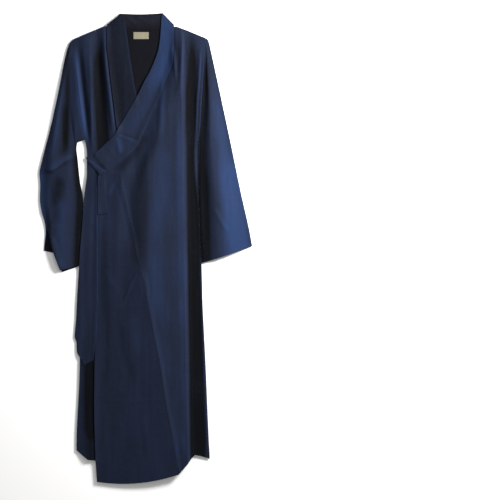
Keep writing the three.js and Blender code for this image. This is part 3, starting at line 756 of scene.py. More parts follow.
BACK_FORM = make_form(
    "left neck_left neck_right right",
    [back_row(*row) for row in SIDES],
    [(0, 0, 0, 0, 0), (LENGTH, 0, 0, 0, 0)],
)

# Painted highlights that run along the left armhole's seam, on the front and on the sleeve
ARMHOLE_LIGHT = folds(
    (9, 12, 0.62, 60, 0, [(-199, 84), (-195, 122), (-188, 164), (-183, 206), (-178, 262), (-168, 330)]),
    (16, 12, 0.50, 50, 0, [(-186, 190), (-180, 240), (-174, 281), (-166, 330), (-160, 380)]),
)

INNER_FORM = make_form(
    "side crest valley ridge edge",
    [
        (60, -201, -160, -133, -113, -97),
        (131, -193, -152, -130, -110, -92),
        (230, -182.5, -147, -124, -98, -80),
        (326, -171, -147, -117, -87, -68),
        (388, -162, -143, -112, -78, -56),
        (440, -162, -138, -105, -60, -40),
        (525, -171.5, -138, -100, -45, -20),
        (700, -180, -140, -95, -40, 0),
        (975, -182, -150, -118, -50, 9),
        (1199, -191, -160, -128, -60, 11),
        (1240, -190, -160, -128, -60, 11),
    ],
    with_seam(
        [
            (60, 0, 9, 3.5, 8, 3),
            (131, 0, 13, 3.5, 12, 3),
            (230, 0, 14, 3, 13, 3),
            (310, 0, 12, 3, 11, 3),
            (370, 0, 6, 2.6, 5, 2.6),
            (430, 0, 3, 2.4, 2.4, 2.4),
            (700, 0, 2.4, 2.4, 2.4, 2.4),
            (960, 0, 4, 2.4, 2.4, 2.4),
            (1199, 0, 7, 2.6, 2.4, 2.4),
            (1240, 0, 7, 2.6, 2.4, 2.4),
        ],
        1,
        seam_left,
    ),
    folds(
        (16, 12, 3.4, 90, 0, [(-200, 70), (-192, 140), (-182, 230), (-173, 310), (-166, 380)]),
        (14, 14, -5.5, 90, 0, [(-186, 70), (-180, 140), (-170, 230), (-160, 300), (-152, 380)]),
        (9, 7, 2.0, 60, 0.2, [(-153, 110), (-149, 230), (-149, 380)]),
        (14, 12, 2.4, 60, 0, [(-112, 46), (-109, 122), (-97, 230), (-84, 345)]),
    ),
    # Painted highlights on the crests, and painted shade in the valleys and in the recess beside the lap
    folds(
        (8, 8, -0.30, 60, 0, [(-172, 150), (-166, 230), (-158, 300), (-152, 360)]),
        (8, 8, 0.16, 60, 0, [(-154, 80), (-151, 230), (-150, 400)]),
        (30, 22, -2.1, 170, 0, [(-130, 40), (-127, 170), (-121, 270), (-110, 420), (-96, 600)]),
        (9, 7, 0.20, 50, 0, [(-112, 36), (-109, 122), (-98, 230), (-84, 350)]),
        (6, 10, -0.5, 90, 0, [(-102, 100), (-92, 200), (-78, 350), (-70, 420)]),
        (30, 18, -0.82, 60, 0, [(-146, 940), (-151, 1083), (-150, 1290)]),
        (40, 22, -0.85, 50, 0, [(-152, 925), (-152, 1000), (-146, 1190)]),
    )
    + ARMHOLE_LIGHT,
)

UNDER_BAND = make_form(
    "seam free",
    [
        (0, -107, -70), (14, -107, -59), (48, -107, -54), (89, -107, -48), (131, -102, -42),
        (186, -96, -33), (241, -89, -23), (282, -84, -13), (340, -77, 2),
],
    [(0, 3.2, 3.2), (40, 4.5, 5), (200, 4, 4.5), (340, 3, 3)],
    (),
    # Painted shade over the band and along its seam, and a painted highlight along its free edge
    folds(
        (120, 120, -0.66, 40, 0, [(-82, -60), (-74, 80), (-62, 200), (-50, 420)]),
        (3, 4, 0.34, 40, 0, [(-59, 14), (-54, 60), (-45, 131), (-27, 241)]),
        (6, 14, -0.40, 60, 0, [(-107, 50), (-101, 131), (-95, 186), (-88, 241), (-80, 310)]),
    ),
)

# Two creases of the outer front: the long one to the hem's corner, and the thin one that it starts from
DIAGONAL = [(-18, 696), (-2, 736), (8, 790), (25, 880), (43, 971), (61, 1083), (79, 1174)]
DIAGONAL += [(92, 1250), (101, 1312)]
THIN_CREASE = [(-73, 440), (-66, 478), (-51, 541), (-35, 608), (-18, 704)]

OUTER_FORM = make_form(
    "lap crest roll turn valley side",
    [
        (44, 69, 85, 98, 107, 114, 167.2),
        (103, 66, 88, 101, 110, 124, 163.6),
        (161, 54, 85, 101, 110, 128, 159.9),
        (229, 32, 76, 100, 109, 128, 155.7),
        (310, -6, 52, 100, 109, 126, 150.6),
        (376, -37, 27, 101, 110, 124, 145.5),
        (420, -85, 14, 102, 111, 124, 144.5),
        (446, -128, 12, 102, 111, 124, 145),
        (517, -132.5, 11, 103, 112, 126, 146.6),
        (627, -133, 4, 105, 114, 128, 150.5),
        (700, -133, -8, 107, 116, 130, 154),
        (790, -133, 7, 108, 117, 130, 156.3),
        (880, -136, 25, 110, 119, 131, 160.5),
        (971, -141, 43, 111, 120, 133, 165),
        (1083, -142, 61, 113, 122, 134, 169.6),
        (1174, -140, 78, 115, 124, 136, 173.4),
        (1237, -138, 89, 117, 126, 137, 176.4),
        (1299, -134, 94, 117, 126, 138, 176.5),
    ],
    with_seam(
        [
            (44, 4, 7, 8, 5, 4, 0),
            (103, 5, 13, 15, 7.5, 5, 0),
            (161, 6, 16, 17, 7.625, 4.5, 0),
            (229, 7, 19, 18, 7.5, 4, 0),
            (310, 7, 20, 19, 7.75, 4, 0),
            (376, 6, 19, 19, 7.75, 4, 0),
            (446, 5.2, 19, 19, 7.75, 4, 0),
            (517, 5.2, 21, 18, 7.5, 4, 0),
            (627, 5.2, 22, 18, 7.5, 4, 0),
            (790, 5.2, 20, 18, 7.5, 4, 0),
            (971, 5.2, 18, 18, 7.5, 4, 0),
            (1174, 5.2, 16, 19, 7.75, 4, 0),
            (1299, 5.2, 15, 19, 7.75, 4, 0),
        ],
        6,
        seam_right,
    ),
    folds(
        (34, 30, -4.5, 60, 0, [(30, 320), (-22, 430), (-44, 540), (-38, 660)]),
        (16, 4, 1.8, 40, 0.8, THIN_CREASE),
        (40, 46, 2.5, 120, 0, [(-104, 520), (-96, 660), (-92, 940)]),
        (26, 8, 1.2, 40, 0.5, [(-18, 704), (-43, 760), (-70, 826)]),
        (60, 12, 2.7, 60, 0.6, DIAGONAL),
        (22, 20, -1.3, 70, 0, [(-68, 840), (-60, 934), (-43, 980), (-28, 1050)]),
        (9, 9, 2.4, 60, 0, [(70, 70), (79, 130), (87, 210)]),
        (9, 9, 2.4, 70, 0, [(103, 70), (99, 150), (96, 260)]),
        (15, 15, 2.6, 80, 0, [(52, 180), (44, 260), (41, 370)]),
        (8, 6, 3.4, 90, 0.1, [(155, 70), (147, 190), (142, 255), (139, 375)]),
        (9, 8, 2.6, 90, 0, [(139, 330), (137, 409), (146, 550), (150, 680)]),
        (10, 7, 2.6, 90, 0.1, [(152, 690), (162, 975), (173, 1225)]),
        (5, 4, 0.5, 20, 0.6, [(-132, 694), (-80, 697), (-12, 692)]),
        (5, 4, 0.5, 20, 0.6, [(-100, 810), (-60, 812), (-20, 806)]),
        (5, 4, 0.6, 20, 0.6, [(-135, 1066), (-60, 1071), (50, 1064)]),
    ),
    # Painted shade in the dark bands, valleys and creases, and painted highlights on the crests, bands and
    # edges
    folds(
        (38, 32, -0.56, 90, 0, [(14, 340), (-6, 440), (-10, 540), (-14, 640), (-24, 760)]),
        (34, 34, 0.30, 90, 0, [(48, 330), (44, 473), (30, 592), (26, 720), (44, 880)]),
        (26, 26, 0.12, 90, 0, [(30, 720), (44, 880), (74, 1083), (96, 1260)]),
        (14, 7, 0.34, 90, 0, [(92, 240), (95, 400), (98, 650), (100, 880)]),
        (14, 7, 0.28, 60, 0, [(99, 760), (104, 1000), (109, 1250)]),
        (9, 9, 0.34, 50, 0, [(70, 66), (79, 130), (88, 216)]),
        (8, 9, 0.34, 60, 0, [(103, 60), (99, 140), (96, 256)]),
        (14, 12, 0.36, 60, 0, [(52, 180), (44, 260), (41, 370)]),
        (12, 8, -0.55, 60, 0, [(88, 56), (91, 150), (78, 260)]),
        (22, 24, -1.4, 150, 0, [(124, 20), (128, 130), (127, 240), (124, 420)]),
        (9, 24, -1.7, 120, 0, [(116, 160), (119, 360), (121, 600), (124, 800), (127, 1000), (131, 1420)]),
        (16, 20, -1.2, 120, 0, [(140, 420), (142, 760), (150, 1000), (158, 1420)]),
        (5, 4, 0.52, 60, 0, [(155, 80), (147, 190), (141.5, 255), (138.5, 372)]),
        (5, 5, -0.60, 60, 0, [(160, 90), (152, 200), (147.5, 270), (144, 372)]),
        (5, 4, 0.46, 40, 0, [(165, 80), (159.4, 161), (155.2, 229), (150.2, 310), (148, 352)]),
        (5, 5, 0.30, 80, 0, [(138, 330), (136, 409), (144, 550), (147, 680)]),
        (4, 4, -1.2, 40, 0, [(146, 340), (144.8, 430), (147, 530), (151, 641), (153.5, 690)]),
        (5, 4, 0.50, 60, 0, [(153, 680), (163, 975), (174, 1230)]),
        (16, 20, -0.5, 20, 0, [(4, 330), (-20, 374), (-52, 410), (-84, 440)]),
        (1, 5, 0.10, 60, 0, DIAGONAL),
        (5, 2, -0.46, 40, 0, [(x - 3, down) for x, down in DIAGONAL]),
        (34, 3, -0.14, 40, 0, [(x - 6, down) for x, down in DIAGONAL]),
        (3, 4, -0.34, 30, 0, [(-18, 704), (-43, 745), (-50, 763), (-68, 808)]),
        (6, 3, 0.08, 20, 0, [(-14, 706), (-37, 750), (-44, 768), (-60, 806)]),
        (3, 2, -0.55, 20, 0.2, THIN_CREASE),
        (8, 7, 0.24, 50, 0, [(x - 9, down + 20) for x, down in THIN_CREASE[:4]]),
        (5, 7, 0.20, 30, 0, [(x + 6, down) for x, down in THIN_CREASE]),
        (8, 8, 0.40, 14, 0, [(-84, 466), (-102, 508)]),
        (18, 14, -0.16, 60, 0, [(-68, 840), (-60, 934), (-43, 980), (-28, 1050)]),
        (26, 26, 0.20, 50, 0, [(-38, 810), (-28, 880), (-16, 960)]),
        (10, 12, 0.22, 16, 0, [(-112, 700), (-100, 728), (-82, 756)]),
        (18, 14, -0.20, 60, 0, [(-108, 560), (-112, 700), (-104, 900), (-112, 1060)]),
        (12, 16, 0.12, 40, 0, [(-78, 1080), (-66, 1150), (-72, 1230)]),
        (60, 90, -0.10, 120, 0, [(-110, 640), (-104, 900), (-90, 1100), (-80, 1400)]),
        (44, 36, -0.08, 90, 0, [(84, 10), (86, 200), (78, 400)]),
        (16, 12, -0.12, 40, 0, [(-20, 1090), (-6, 1160), (2, 1240)]),
    ),
)
HEM_DIP, HEM_DIP_FROM, HEM_DIP_TO = 13.8, 1000, 1280  # bow of the hem, and the places down that it grows over

BACK_BAND = make_form(
    "left right",
    [(2, -71, 44), (20, -88, 60), (40, NECK_LEFT, NECK_RIGHT), (47, NECK_LEFT, NECK_RIGHT)],
    [(0, 0, 0), (60, 0, 0)],
    folds(
        (6, 9, 1.8, 10, 0.3, [(-58, 8), (-44, 20), (-26, 34)]),
        (6, 8, 1.5, 10, 0.3, [(-30, 6), (-14, 17), (4, 26)]),
        (6, 8, 1.3, 10, 0.3, [(-4, 30), (16, 20), (36, 8)]),
    ),
    # Painted highlights on the back collar and on its wrinkles
    folds(
        (40, 40, 0.95, 10, 0, [(-110, 16), (-40, 16), (20, 14), (90, 14)]),
        (4, 6, 0.35, 8, 0, [(-58, 8), (-44, 20), (-26, 34)]),
        (4, 6, 0.35, 8, 0, [(-30, 6), (-14, 17), (4, 26)]),
        (5, 6, 0.25, 8, 0, [(-4, 30), (16, 20), (36, 8)]),
    ),
)

OVER_BAND = make_form(
    "free seam",
    [
        (0, 45, 78), (20, 43, 78), (43, 41.6, 78), (75, 39, 78), (108, 33, 77), (131, 25, 76),
        (163, 11, 66), (190, -4, 54), (233, -25, 38), (281, -53, 16), (314, -72, 2), (340, -88, -11),
        (360, -109, -18), (375, -124, -29), (393, -142, -48), (418, -142, -80), (434, -142, -101),
],
    [(0, 2.4, 2.6), (50, 2.8, 6.5), (120, 3.4, 8), (200, 4, 8), (300, 5, 7), (434, 7, 7)],
    folds(
        (14, 12, 3.4, 22, 0.3, [(-80, 334), (-74, 360), (-68, 398)]),
        (14, 3, 2.6, 12, 0.8, [(-80, 333), (-50, 345), (-20, 357)]),
    ),
    # Painted highlights on the band's top and on its end fold, and painted shade along the end crease and
    # under it
    folds(
        (40, 40, 1.0, 70, 0, [(62, -90), (60, 40), (56, 110), (40, 165), (10, 230)]),
        (30, 30, 0.20, 60, 0, [(30, 170), (4, 240), (-30, 300), (-100, 400), (-130, 430)]),
        (6, 7, 0.50, 12, 0, [(-80, 340), (-75, 362), (-69, 392)]),
        (10, 1.5, 0.35, 12, 0.3, [(-80, 335), (-50, 347), (-22, 358)]),
        (2, 9, -0.40, 12, 0, [(-78, 331), (-50, 342), (-20, 353)]),
        (10, 10, -0.25, 14, 0, [(-110, 372), (-84, 410)]),
    ),
)


def ribbon_form(across, creases=(), painted_light_bands=()):
    level = FOLDED_EDGE
    return make_form("left right", across, [(0, level, level), (LENGTH, level, level)], creases, painted_light_bands)


TIE_LONG_FORM = ribbon_form(
    [
        (404, -156, -138), (456, -162.5, -132.4), (506, -169.5, -131.9), (540, -172.3, -132.1),
        (572, -174, -132.2), (655, -181, -132.2), (710, -184.5, -132.2), (779, -189, -132.3),
        (843, -192, -134), (895, -196, -136.2), (909, -191, -137.5), (934, -190, -141),
        (960, -176, -144.5), (977, -170, -150),
],
    folds(
        (9, 9, 1.2, 80, 0.1, [(-145, 430), (-148, 560), (-152, 720)]),
        (12, 14, -0.9, 80, 0, [(-160, 600), (-165, 740), (-158, 900)]),
        (9, 9, 0.7, 40, 0, [(-172, 760), (-176, 850), (-178, 905)]),
    ),
    # Painted highlights and painted shade along the ribbon's folds and edges
    folds(
        (3, 3, 0.26, 40, 0, [(-134.5, 440), (-134, 560), (-134.5, 780), (-140, 905)]),
        (12, 14, -0.16, 60, 0, [(-156, 440), (-160, 600), (-165, 740), (-158, 900)]),
        (8, 10, 0.12, 60, 0, [(-145, 480), (-148, 600), (-152, 760)]),
        (20, 16, -0.22, 40, 0, [(-150, 840), (-160, 930), (-168, 990)]),
    ),
)
TIE_SHORT_FORM = ribbon_form(
    [(436, -131, -110), (500, -132, -108), (557, -132.2, -102)],
    folds((5, 5, 0.9, 20, 0.2, [(-120, 448), (-118, 500), (-121, 550)])),
    # Painted shade and a painted highlight along the short end
    folds(
        (5, 7, -0.30, 30, 0, [(-126, 440), (-126, 500), (-127, 552)]),
        (3, 3, 0.30, 30, 0, [(-113, 440), (-111, 500), (-107, 552)]),
    ),
)
TIE_STRAP_FORM = ribbon_form(
    [(396, -168, -140.5), (410, -160, -124.5), (424, -148, -110.5), (436, -136, -98.5), (450, -126, -90)],
    folds((5, 4, 1.6, 12, 0.2, [(-160, 404), (-135, 424), (-108, 442)])),
    # Painted highlight along the strap's top, and painted shade below and above it
    folds(
        (3, 3, 0.80, 12, 0, [(-158, 404), (-135, 423), (-110, 441)]),
        (6, 3, -0.50, 10, 0, [(-162, 413), (-141, 431), (-118, 449)]),
        (3, 4, -0.30, 10, 0, [(-150, 398), (-128, 417), (-104, 436)]),
    ),
)


class ROBE_OT_back(Operator):
    """Back panel, with its inside showing in the neck opening"""

    bl_idname = "robe.back"
    bl_label = "Back"

    def execute(self, context):
        cloth_of(context)
        neck = NECK_DOWN + SEAM
        x, down = plan_grid(BACK_FORM, [(75, 1204), (neck, 1234), (neck, 1205), (72, 1229)], BACK_CELL)
        down[0] += neck_curve((x[0] - NECK_LEFT) / (NECK_RIGHT - NECK_LEFT))
        top = np.full(x.shape, CLOTH)
        tone = np.zeros(x.shape)
        # The upper face takes the shaded inside material: painted shade in the neck opening
        piece = wall_piece("robe_back", x, down, top, 0, tone, ("hem",), (IN, OUT), flat_under=0.0)
        ground.add(x, down, top)
        dress(piece, "back", "cloth_inside", (0.37, 1.19), 0.395, [])
        return {"FINISHED"}


LABEL_BOX = -34, 8, 54, 73  # its left, right, upper and lower edge
LABEL_RISE, LABEL_WALL = 0.72, 0.6  # its top over the back, with the gap to it, and its thickness


class ROBE_OT_label(Operator):
    """Small woven label inside the back neck, blank"""

    bl_idname = "robe.label"
    bl_label = "Label"

    def execute(self, context):
        cloth = cloth_of(context)
        left, right, upper, lower = LABEL_BOX
        x, down = np.meshgrid(np.linspace(left, right, 43), np.linspace(upper, lower, 20))
        q, t = (x - left) / (right - left), (down - upper) / (lower - upper)
        top = REST + LABEL_RISE + 0.10 * np.sin(math.pi * q) * np.cos(1.3 * math.pi * t) + 0.12 * t * q
        materials = ("robe label", "robe label")
        flat = np.zeros(x.shape)
        piece = wall_piece("robe_label", x, down, top, LABEL_WALL, flat, materials=materials, bulge=0.1)
        lines = [inset(x, down, side, LABEL_SEAM) for side in ("left", "right")]
        stitches = sew("label_stitches", piece, lines, cloth)
        dress(piece, "label", "label", (0.042, 0.019), None, ["robe_back"], [stitches])
        return {"FINISHED"}


def lay_piece(cloth, name, form, ends, seams, worn, sheet, wall=None, cell=CELL, dip=None, **lay):
    """A piece laid on what is there, with a stitch line for each seam: the edge, and how far inside it."""
    x, down = plan_grid(form, ends, cell)
    if dip:
        down = dip(x, down)
    top = lay_panel(form, x, down, **lay)
    tone = shade(form, x, down, top)
    piece = wall_piece("robe_" + name, x, down, top, (wall or cloth.wall) * 1000, tone, worn)
    ground.add(x, down, top)
    lines = [inset(x, down, side, gap) for side, gap in seams]
    stitches = sew(name + "_stitches", piece, lines, cloth)
    dress(piece, name, "cloth", *sheet, [stitches])


def lay_band(cloth, name, form, ends, seams, worn, sheet, **lay):
    """A narrow piece of the collar band or of a tie, which lies nearly on the cloth under it."""
    lay_piece(cloth, name, form, ends, seams, worn, sheet, cloth.band_wall, thick=BAND, laid=BAND_LAID, **lay)


class ROBE_OT_inner_front(Operator):
    """Front under the lap, with the folds that run down from its shoulder"""

    bl_idname = "robe.inner_front"
    bl_label = "Inner front"

    def execute(self, context):
        cloth = cloth_of(context)
        ends = [(74, 1207), (57, 1233), (46, 1237), (38, 1238), (38, 1238)]
        sheet = (0.21, 1.20), 0.185, ["robe_back"]
        seams = [("hem", HEM_SEAM), ("left", SIDE_SEAM)]
        lay_piece(cloth, "inner_front", INNER_FORM, ends, seams, ("hem",), sheet, top=True, over=False)
        return {"FINISHED"}


class ROBE_OT_collar_under(Operator):
    """Stretch of the collar band on the inner front, which the lap covers lower down"""

    bl_idname = "robe.collar_under"
    bl_label = "Collar under the lap"

    def execute(self, context):
        cloth = cloth_of(context)
        ends = [(34, 340), (2.5, 340)]
        sheet = (0.075, 0.35), 0.018, ["robe_inner_front"]
        seams = [("left", BAND_SEAM), ("right", BAND_SEAM)]
        lay_band(cloth, "collar_under", UNDER_BAND, ends, seams, ("right",), sheet, drape=CLOSE)
        return {"FINISHED"}


def hem_dip(x, down):
    """The outer front's plan, with its hem bowed down between the lap's edge and the long crease."""
    lap, crest = OUTER_FORM["across"]["lap"](down), OUTER_FORM["across"]["crest"](down)
    q = np.clip((x - lap) / (crest - lap), 0, 1)
    return down + HEM_DIP * 4 * q * (1 - q) * smooth((down - HEM_DIP_FROM) / (HEM_DIP_TO - HEM_DIP_FROM))


class ROBE_OT_outer_front(Operator):
    """Front that laps over and carries the largest folds"""

    bl_idname = "robe.outer_front"
    bl_label = "Outer front"

    def execute(self, context):
        cloth = cloth_of(context)
        ends = [(40, 1294), (39, 1272), (44, 1243), (47, 1229), (50, 1219), (71, 1230)]
        sheet = (0.33, 1.27), 0.345, ["robe_inner_front", "robe_collar_under"]
        seams = [("hem", LAP_HEM_SEAM), ("left", EDGE_SEAM), ("left", LAP_SEAM)]
        worn = ("hem", "left")
        lay_piece(cloth, "outer_front", OUTER_FORM, ends, seams, worn, sheet, dip=hem_dip, top=True)
        return {"FINISHED"}


class ROBE_OT_collar(Operator):
    """Back stretch of the collar with its inner face up, and the stretch that crosses the chest"""

    bl_idname = "robe.collar"
    bl_label = "Collar"

    def execute(self, context):
        cloth = cloth_of(context)
        x, down = plan_grid(BACK_BAND, [(2.5, NECK_DOWN), (1.5, NECK_DOWN)])
        down = down + neck_curve(np.linspace(0, 1, x.shape[1])[None])
        top = form_height(BACK_BAND, x, down) + CLOTH
        tone = shade(BACK_BAND, x, down, top)
        # The upper face takes the shaded inside material; its painted highlight bands make it a lighter
        # painted shade than the neck below
        back = wall_piece("robe_collar_back", x, down, top, 0, tone, ("top",), (IN, OUT), flat_under=0.0)
        ground.add(x, down, top)
        lines = [inset(x, down, "top", BAND_SEAM), inset(x, down, "hem", NARROW_SEAM)]
        stitches = sew("collar_back_stitches", back, lines, cloth, IN)
        dress(back, "collar_back", "cloth_inside", (0.185, 0.046), None, [], [stitches])

        ends = [(0, 393), (34, 434)]
        sheet = (0.10, 0.47), 0.028, ["robe_outer_front"]
        seams = [(side, BAND_SEAM) for side in ("left", "right", "hem")]
        lay_band(cloth, "collar_over", OVER_BAND, ends, seams, ("left", "hem"), sheet, drape=CLOSE)
        return {"FINISHED"}


class ROBE_OT_ties(Operator):
    """Long ribbon, short end and the strap of the side tie"""

    bl_idname = "robe.ties"
    bl_label = "Ties"

    def execute(self, context):
        cloth = cloth_of(context)
        pieces = (
            ("tie_long", TIE_LONG_FORM, [(404, 972), (412, 958)], 3, (0.062, 0.58), 0.0262),
            ("tie_short", TIE_SHORT_FORM, [(442, 557), (444, 554)], 2.5, (0.030, 0.116), None),
            ("tie_strap", TIE_STRAP_FORM, [(400, 450), (397, 436)], 2, (0.026, 0.064), None),
        )
        seams = [("left", NARROW_SEAM), ("right", NARROW_SEAM)]
        for name, form, ends, cell, flat, area in pieces:
            sheet = flat, area, ["robe_outer_front"]
            lay_band(cloth, name, form, ends, seams, ("left", "right", "hem"), sheet, cell=cell)
        return {"FINISHED"}


# The sleeves


SLEEVE_GAP = 0.2  # to the body, at the armhole
SLEEVE_EDGE, SLEEVE_ARC = 2.4, 4  # depth of a sleeve's rolled edges, and their steps
SLEEVE_JOIN = 0.16  # share of a sleeve over which it takes up the height of the body at its seam
CUFF_POWER = 6  # how near the cuff the rows of a sleeve take up the cuff's shape
ELBOW = [(-290, 432), (-257, 438), (-220, 412), (-188, 396)]  # crease across the left sleeve
LEFT_SLEEVE_FORM = make_form(
    "outer crest valley inner",
    [
        (78, -202, -201.8, -201.4, -201), (130, -222, -215, -206, -194), (219, -241, -231, -214, -184),
        (318, -263, -247, -222, -172), (366, -274, -252, -224, -172), (420, -289, -256, -222, -184),
        (511, -291, -262, -232, -175), (600, -271, -259, -238, -177), (663, -284, -249, -236, -180),
        (711, -284, -233, -222, -183),
],
    with_seam(
        [
            (78, FOLDED_EDGE, 3, 3, 0), (130, FOLDED_EDGE, 7, 5, 0), (219, FOLDED_EDGE, 10, 5, 0),
            (318, FOLDED_EDGE, 12, 5, 0), (366, FOLDED_EDGE, 13, 7, 0), (420, FOLDED_EDGE, 13, 10, 0),
            (511, FOLDED_EDGE, 10, 11, 0), (600, FOLDED_EDGE, 9, 10, 0), (663, FOLDED_EDGE, 9, 10, 0),
            (711, FOLDED_EDGE, 9, 9, 0),
],
        4,
        seam_left,
    ),
    folds(
        (5, 34, 4.4, 40, 0.6, ELBOW),
        (20, 18, -2.4, 36, 0, [(-266, 460), (-244, 464), (-226, 500)]),
        (5, 12, 1.0, 18, 0.4, [(-272, 553), (-252, 541), (-230, 528)]),
        (15, 15, 3, 20, 0, [(-262, 610), (-248, 664), (-233, 712)]),
        (14, 20, -3, 30, 0, [(-262, 500), (-250, 560), (-262, 590)]),
    ),
    # Painted shade in the dark bands, below the elbow crease and along the inner side, and painted highlights
    # above the crease and along the outer edge
    folds(
        (18, 12, -0.75, 50, 0, [(-212, 84), (-217, 200), (-218, 300), (-216, 400)]),
        (22, 18, -0.50, 40, 0, [(-220, 240), (-224, 330), (-226, 420)]),
        (14, 16, 0.50, 50, 0, [(-226, 110), (-240, 230), (-256, 350), (-272, 420)]),
        (3, 32, 0.38, 40, 0, ELBOW),
        (7, 2, -0.95, 40, 0, ELBOW),
        (22, 28, -0.78, 40, 0, [(-258, 440), (-244, 470), (-242, 540)]),
        (26, 20, -1.7, 70, 0, [(-186, 340), (-182, 420), (-176, 520), (-180, 620), (-184, 790)]),
        (28, 26, 0.34, 60, 0, [(-230, 480), (-230, 560), (-226, 760)]),
        (14, 10, -0.30, 30, 0, [(-268, 500), (-256, 560), (-262, 600)]),
        (12, 30, 0.80, 50, 0, [(-290, 410), (-288, 500), (-284, 590)]),
    )
    + ARMHOLE_LIGHT,
)
LEFT_OUTER = table(
    "down across",
    [
        (74, -200), (86, -211), (118, -221), (219, -241), (318, -263), (412, -287), (441, -293),
        (478, -291), (511, -292), (542, -289), (572, -280), (600, -272), (630, -277), (656, -283),
],
)
LEFT_INNER = table(
    "down across",
    [
        (351, -168), (354, -176), (360, -189), (376, -191), (407, -187.6), (448, -183.4), (473, -180.2),
        (498, -175), (515, -172.6), (530, -172.6), (572, -174.6), (641, -178.2), (700, -181.2),
],
)
# How far down a cuff lies at each share of its width, past the line between its ends
LEFT_CUFF_UNDER = table("share drop", [(0, 0), (1 / 3, -7), (0.5, 38), (1, 0)])
LEFT_CUFF_OVER = table("share drop", [(0, 0), (0.19, 45), (0.4, 73), (1, 0)])
LEFT_CUFF_RISE = 59  # the upper layer's cuff starts this much higher at the folded edge
LEFT_CUFF, RIGHT_CUFF = (656, 700), (644, 691)  # places down of a cuff's outer and inner end

RIGHT_SLEEVE_FORM = make_form(
    "inner valley crest outer",
    [
        (73, 166.6, 166.8, 167.2, 167.6), (130, 162, 165, 170, 183), (240, 156, 163, 176, 207),
        (358, 148, 154, 182, 233), (480, 146, 153, 190, 259), (600, 150, 158, 202, 285),
        (700, 155, 164, 212, 300),
],
    with_seam(
        [
            (73, 0, 3, 3, FOLDED_EDGE), (130, 0, 4, 7, FOLDED_EDGE), (240, 0, 4, 11, FOLDED_EDGE),
            (358, 0, 4, 14, FOLDED_EDGE), (480, 0, 5, 15, FOLDED_EDGE), (600, 0, 5, 14, FOLDED_EDGE),
            (700, 0, 5, 13, FOLDED_EDGE),
],
        1,
        seam_right,
    ),
    folds(
        (12, 12, 1.6, 24, 0.3, [(186, 532), (206, 572), (228, 612)]),
        (5, 5, 0.5, 20, 0.5, [(182, 513), (215, 514), (262, 513)]),
    ),
    # Painted shade along the inner side, and painted highlights toward the outer edge
    folds(
        (18, 30, -1.05, 120, 0, [(164, 70), (157, 240), (153, 358), (152, 480), (155, 600), (160, 800)]),
        (30, 36, 0.45, 90, 0, [(196, 200), (210, 320), (224, 440)]),
        (16, 34, -0.80, 110, 0, [(158, 400), (162, 540), (168, 800)]),
        (46, 64, 1.5, 130, 0, [(220, 350), (236, 500), (252, 640), (272, 840)]),
        (8, 8, 0.15, 24, 0, [(190, 532), (208, 572), (230, 612)]),
    ),
)
RIGHT_OUTER = table(
    "down across",
    [
        (71, 166), (75, 171), (86, 175), (108, 180), (142, 187.5), (340, 230), (500, 263), (603, 286),
        (644, 293.3),
    ],
)
RIGHT_INNER = table(
    "down across",
    [(358, 148), (388, 144.6), (430, 144.6), (476, 145.6), (572, 148.2), (641, 151.2), (691, 153.8)],
)
RIGHT_CUFF_BOW = 2  # how far the middle of the cuff bows down


def under_left(q):
    return np.interp(q, LEFT_CUFF_UNDER["share"], LEFT_CUFF_UNDER["drop"])


def over_left(q):
    return np.interp(q, LEFT_CUFF_OVER["share"], LEFT_CUFF_OVER["drop"])


def bow_right(q):
    return 4 * q * (1 - q) * RIGHT_CUFF_BOW


def sleeve_plan(outer, inner, cuff, drop, rise, t, q):
    """Plan of one layer of a sleeve, from the folded outer edge to the inner one."""
    outer_at, inner_at = curve(outer, "across"), curve(inner, "across")
    outer_down = mix(outer["down"][0], cuff[0], t) - rise * t**CUFF_POWER
    inner_down = mix(inner["down"][0], cuff[1], t)
    x = mix(outer_at(outer_down), inner_at(inner_down), q)
    down = mix(outer_down, inner_down, q) + drop(q) * t**CUFF_POWER
    return x, down


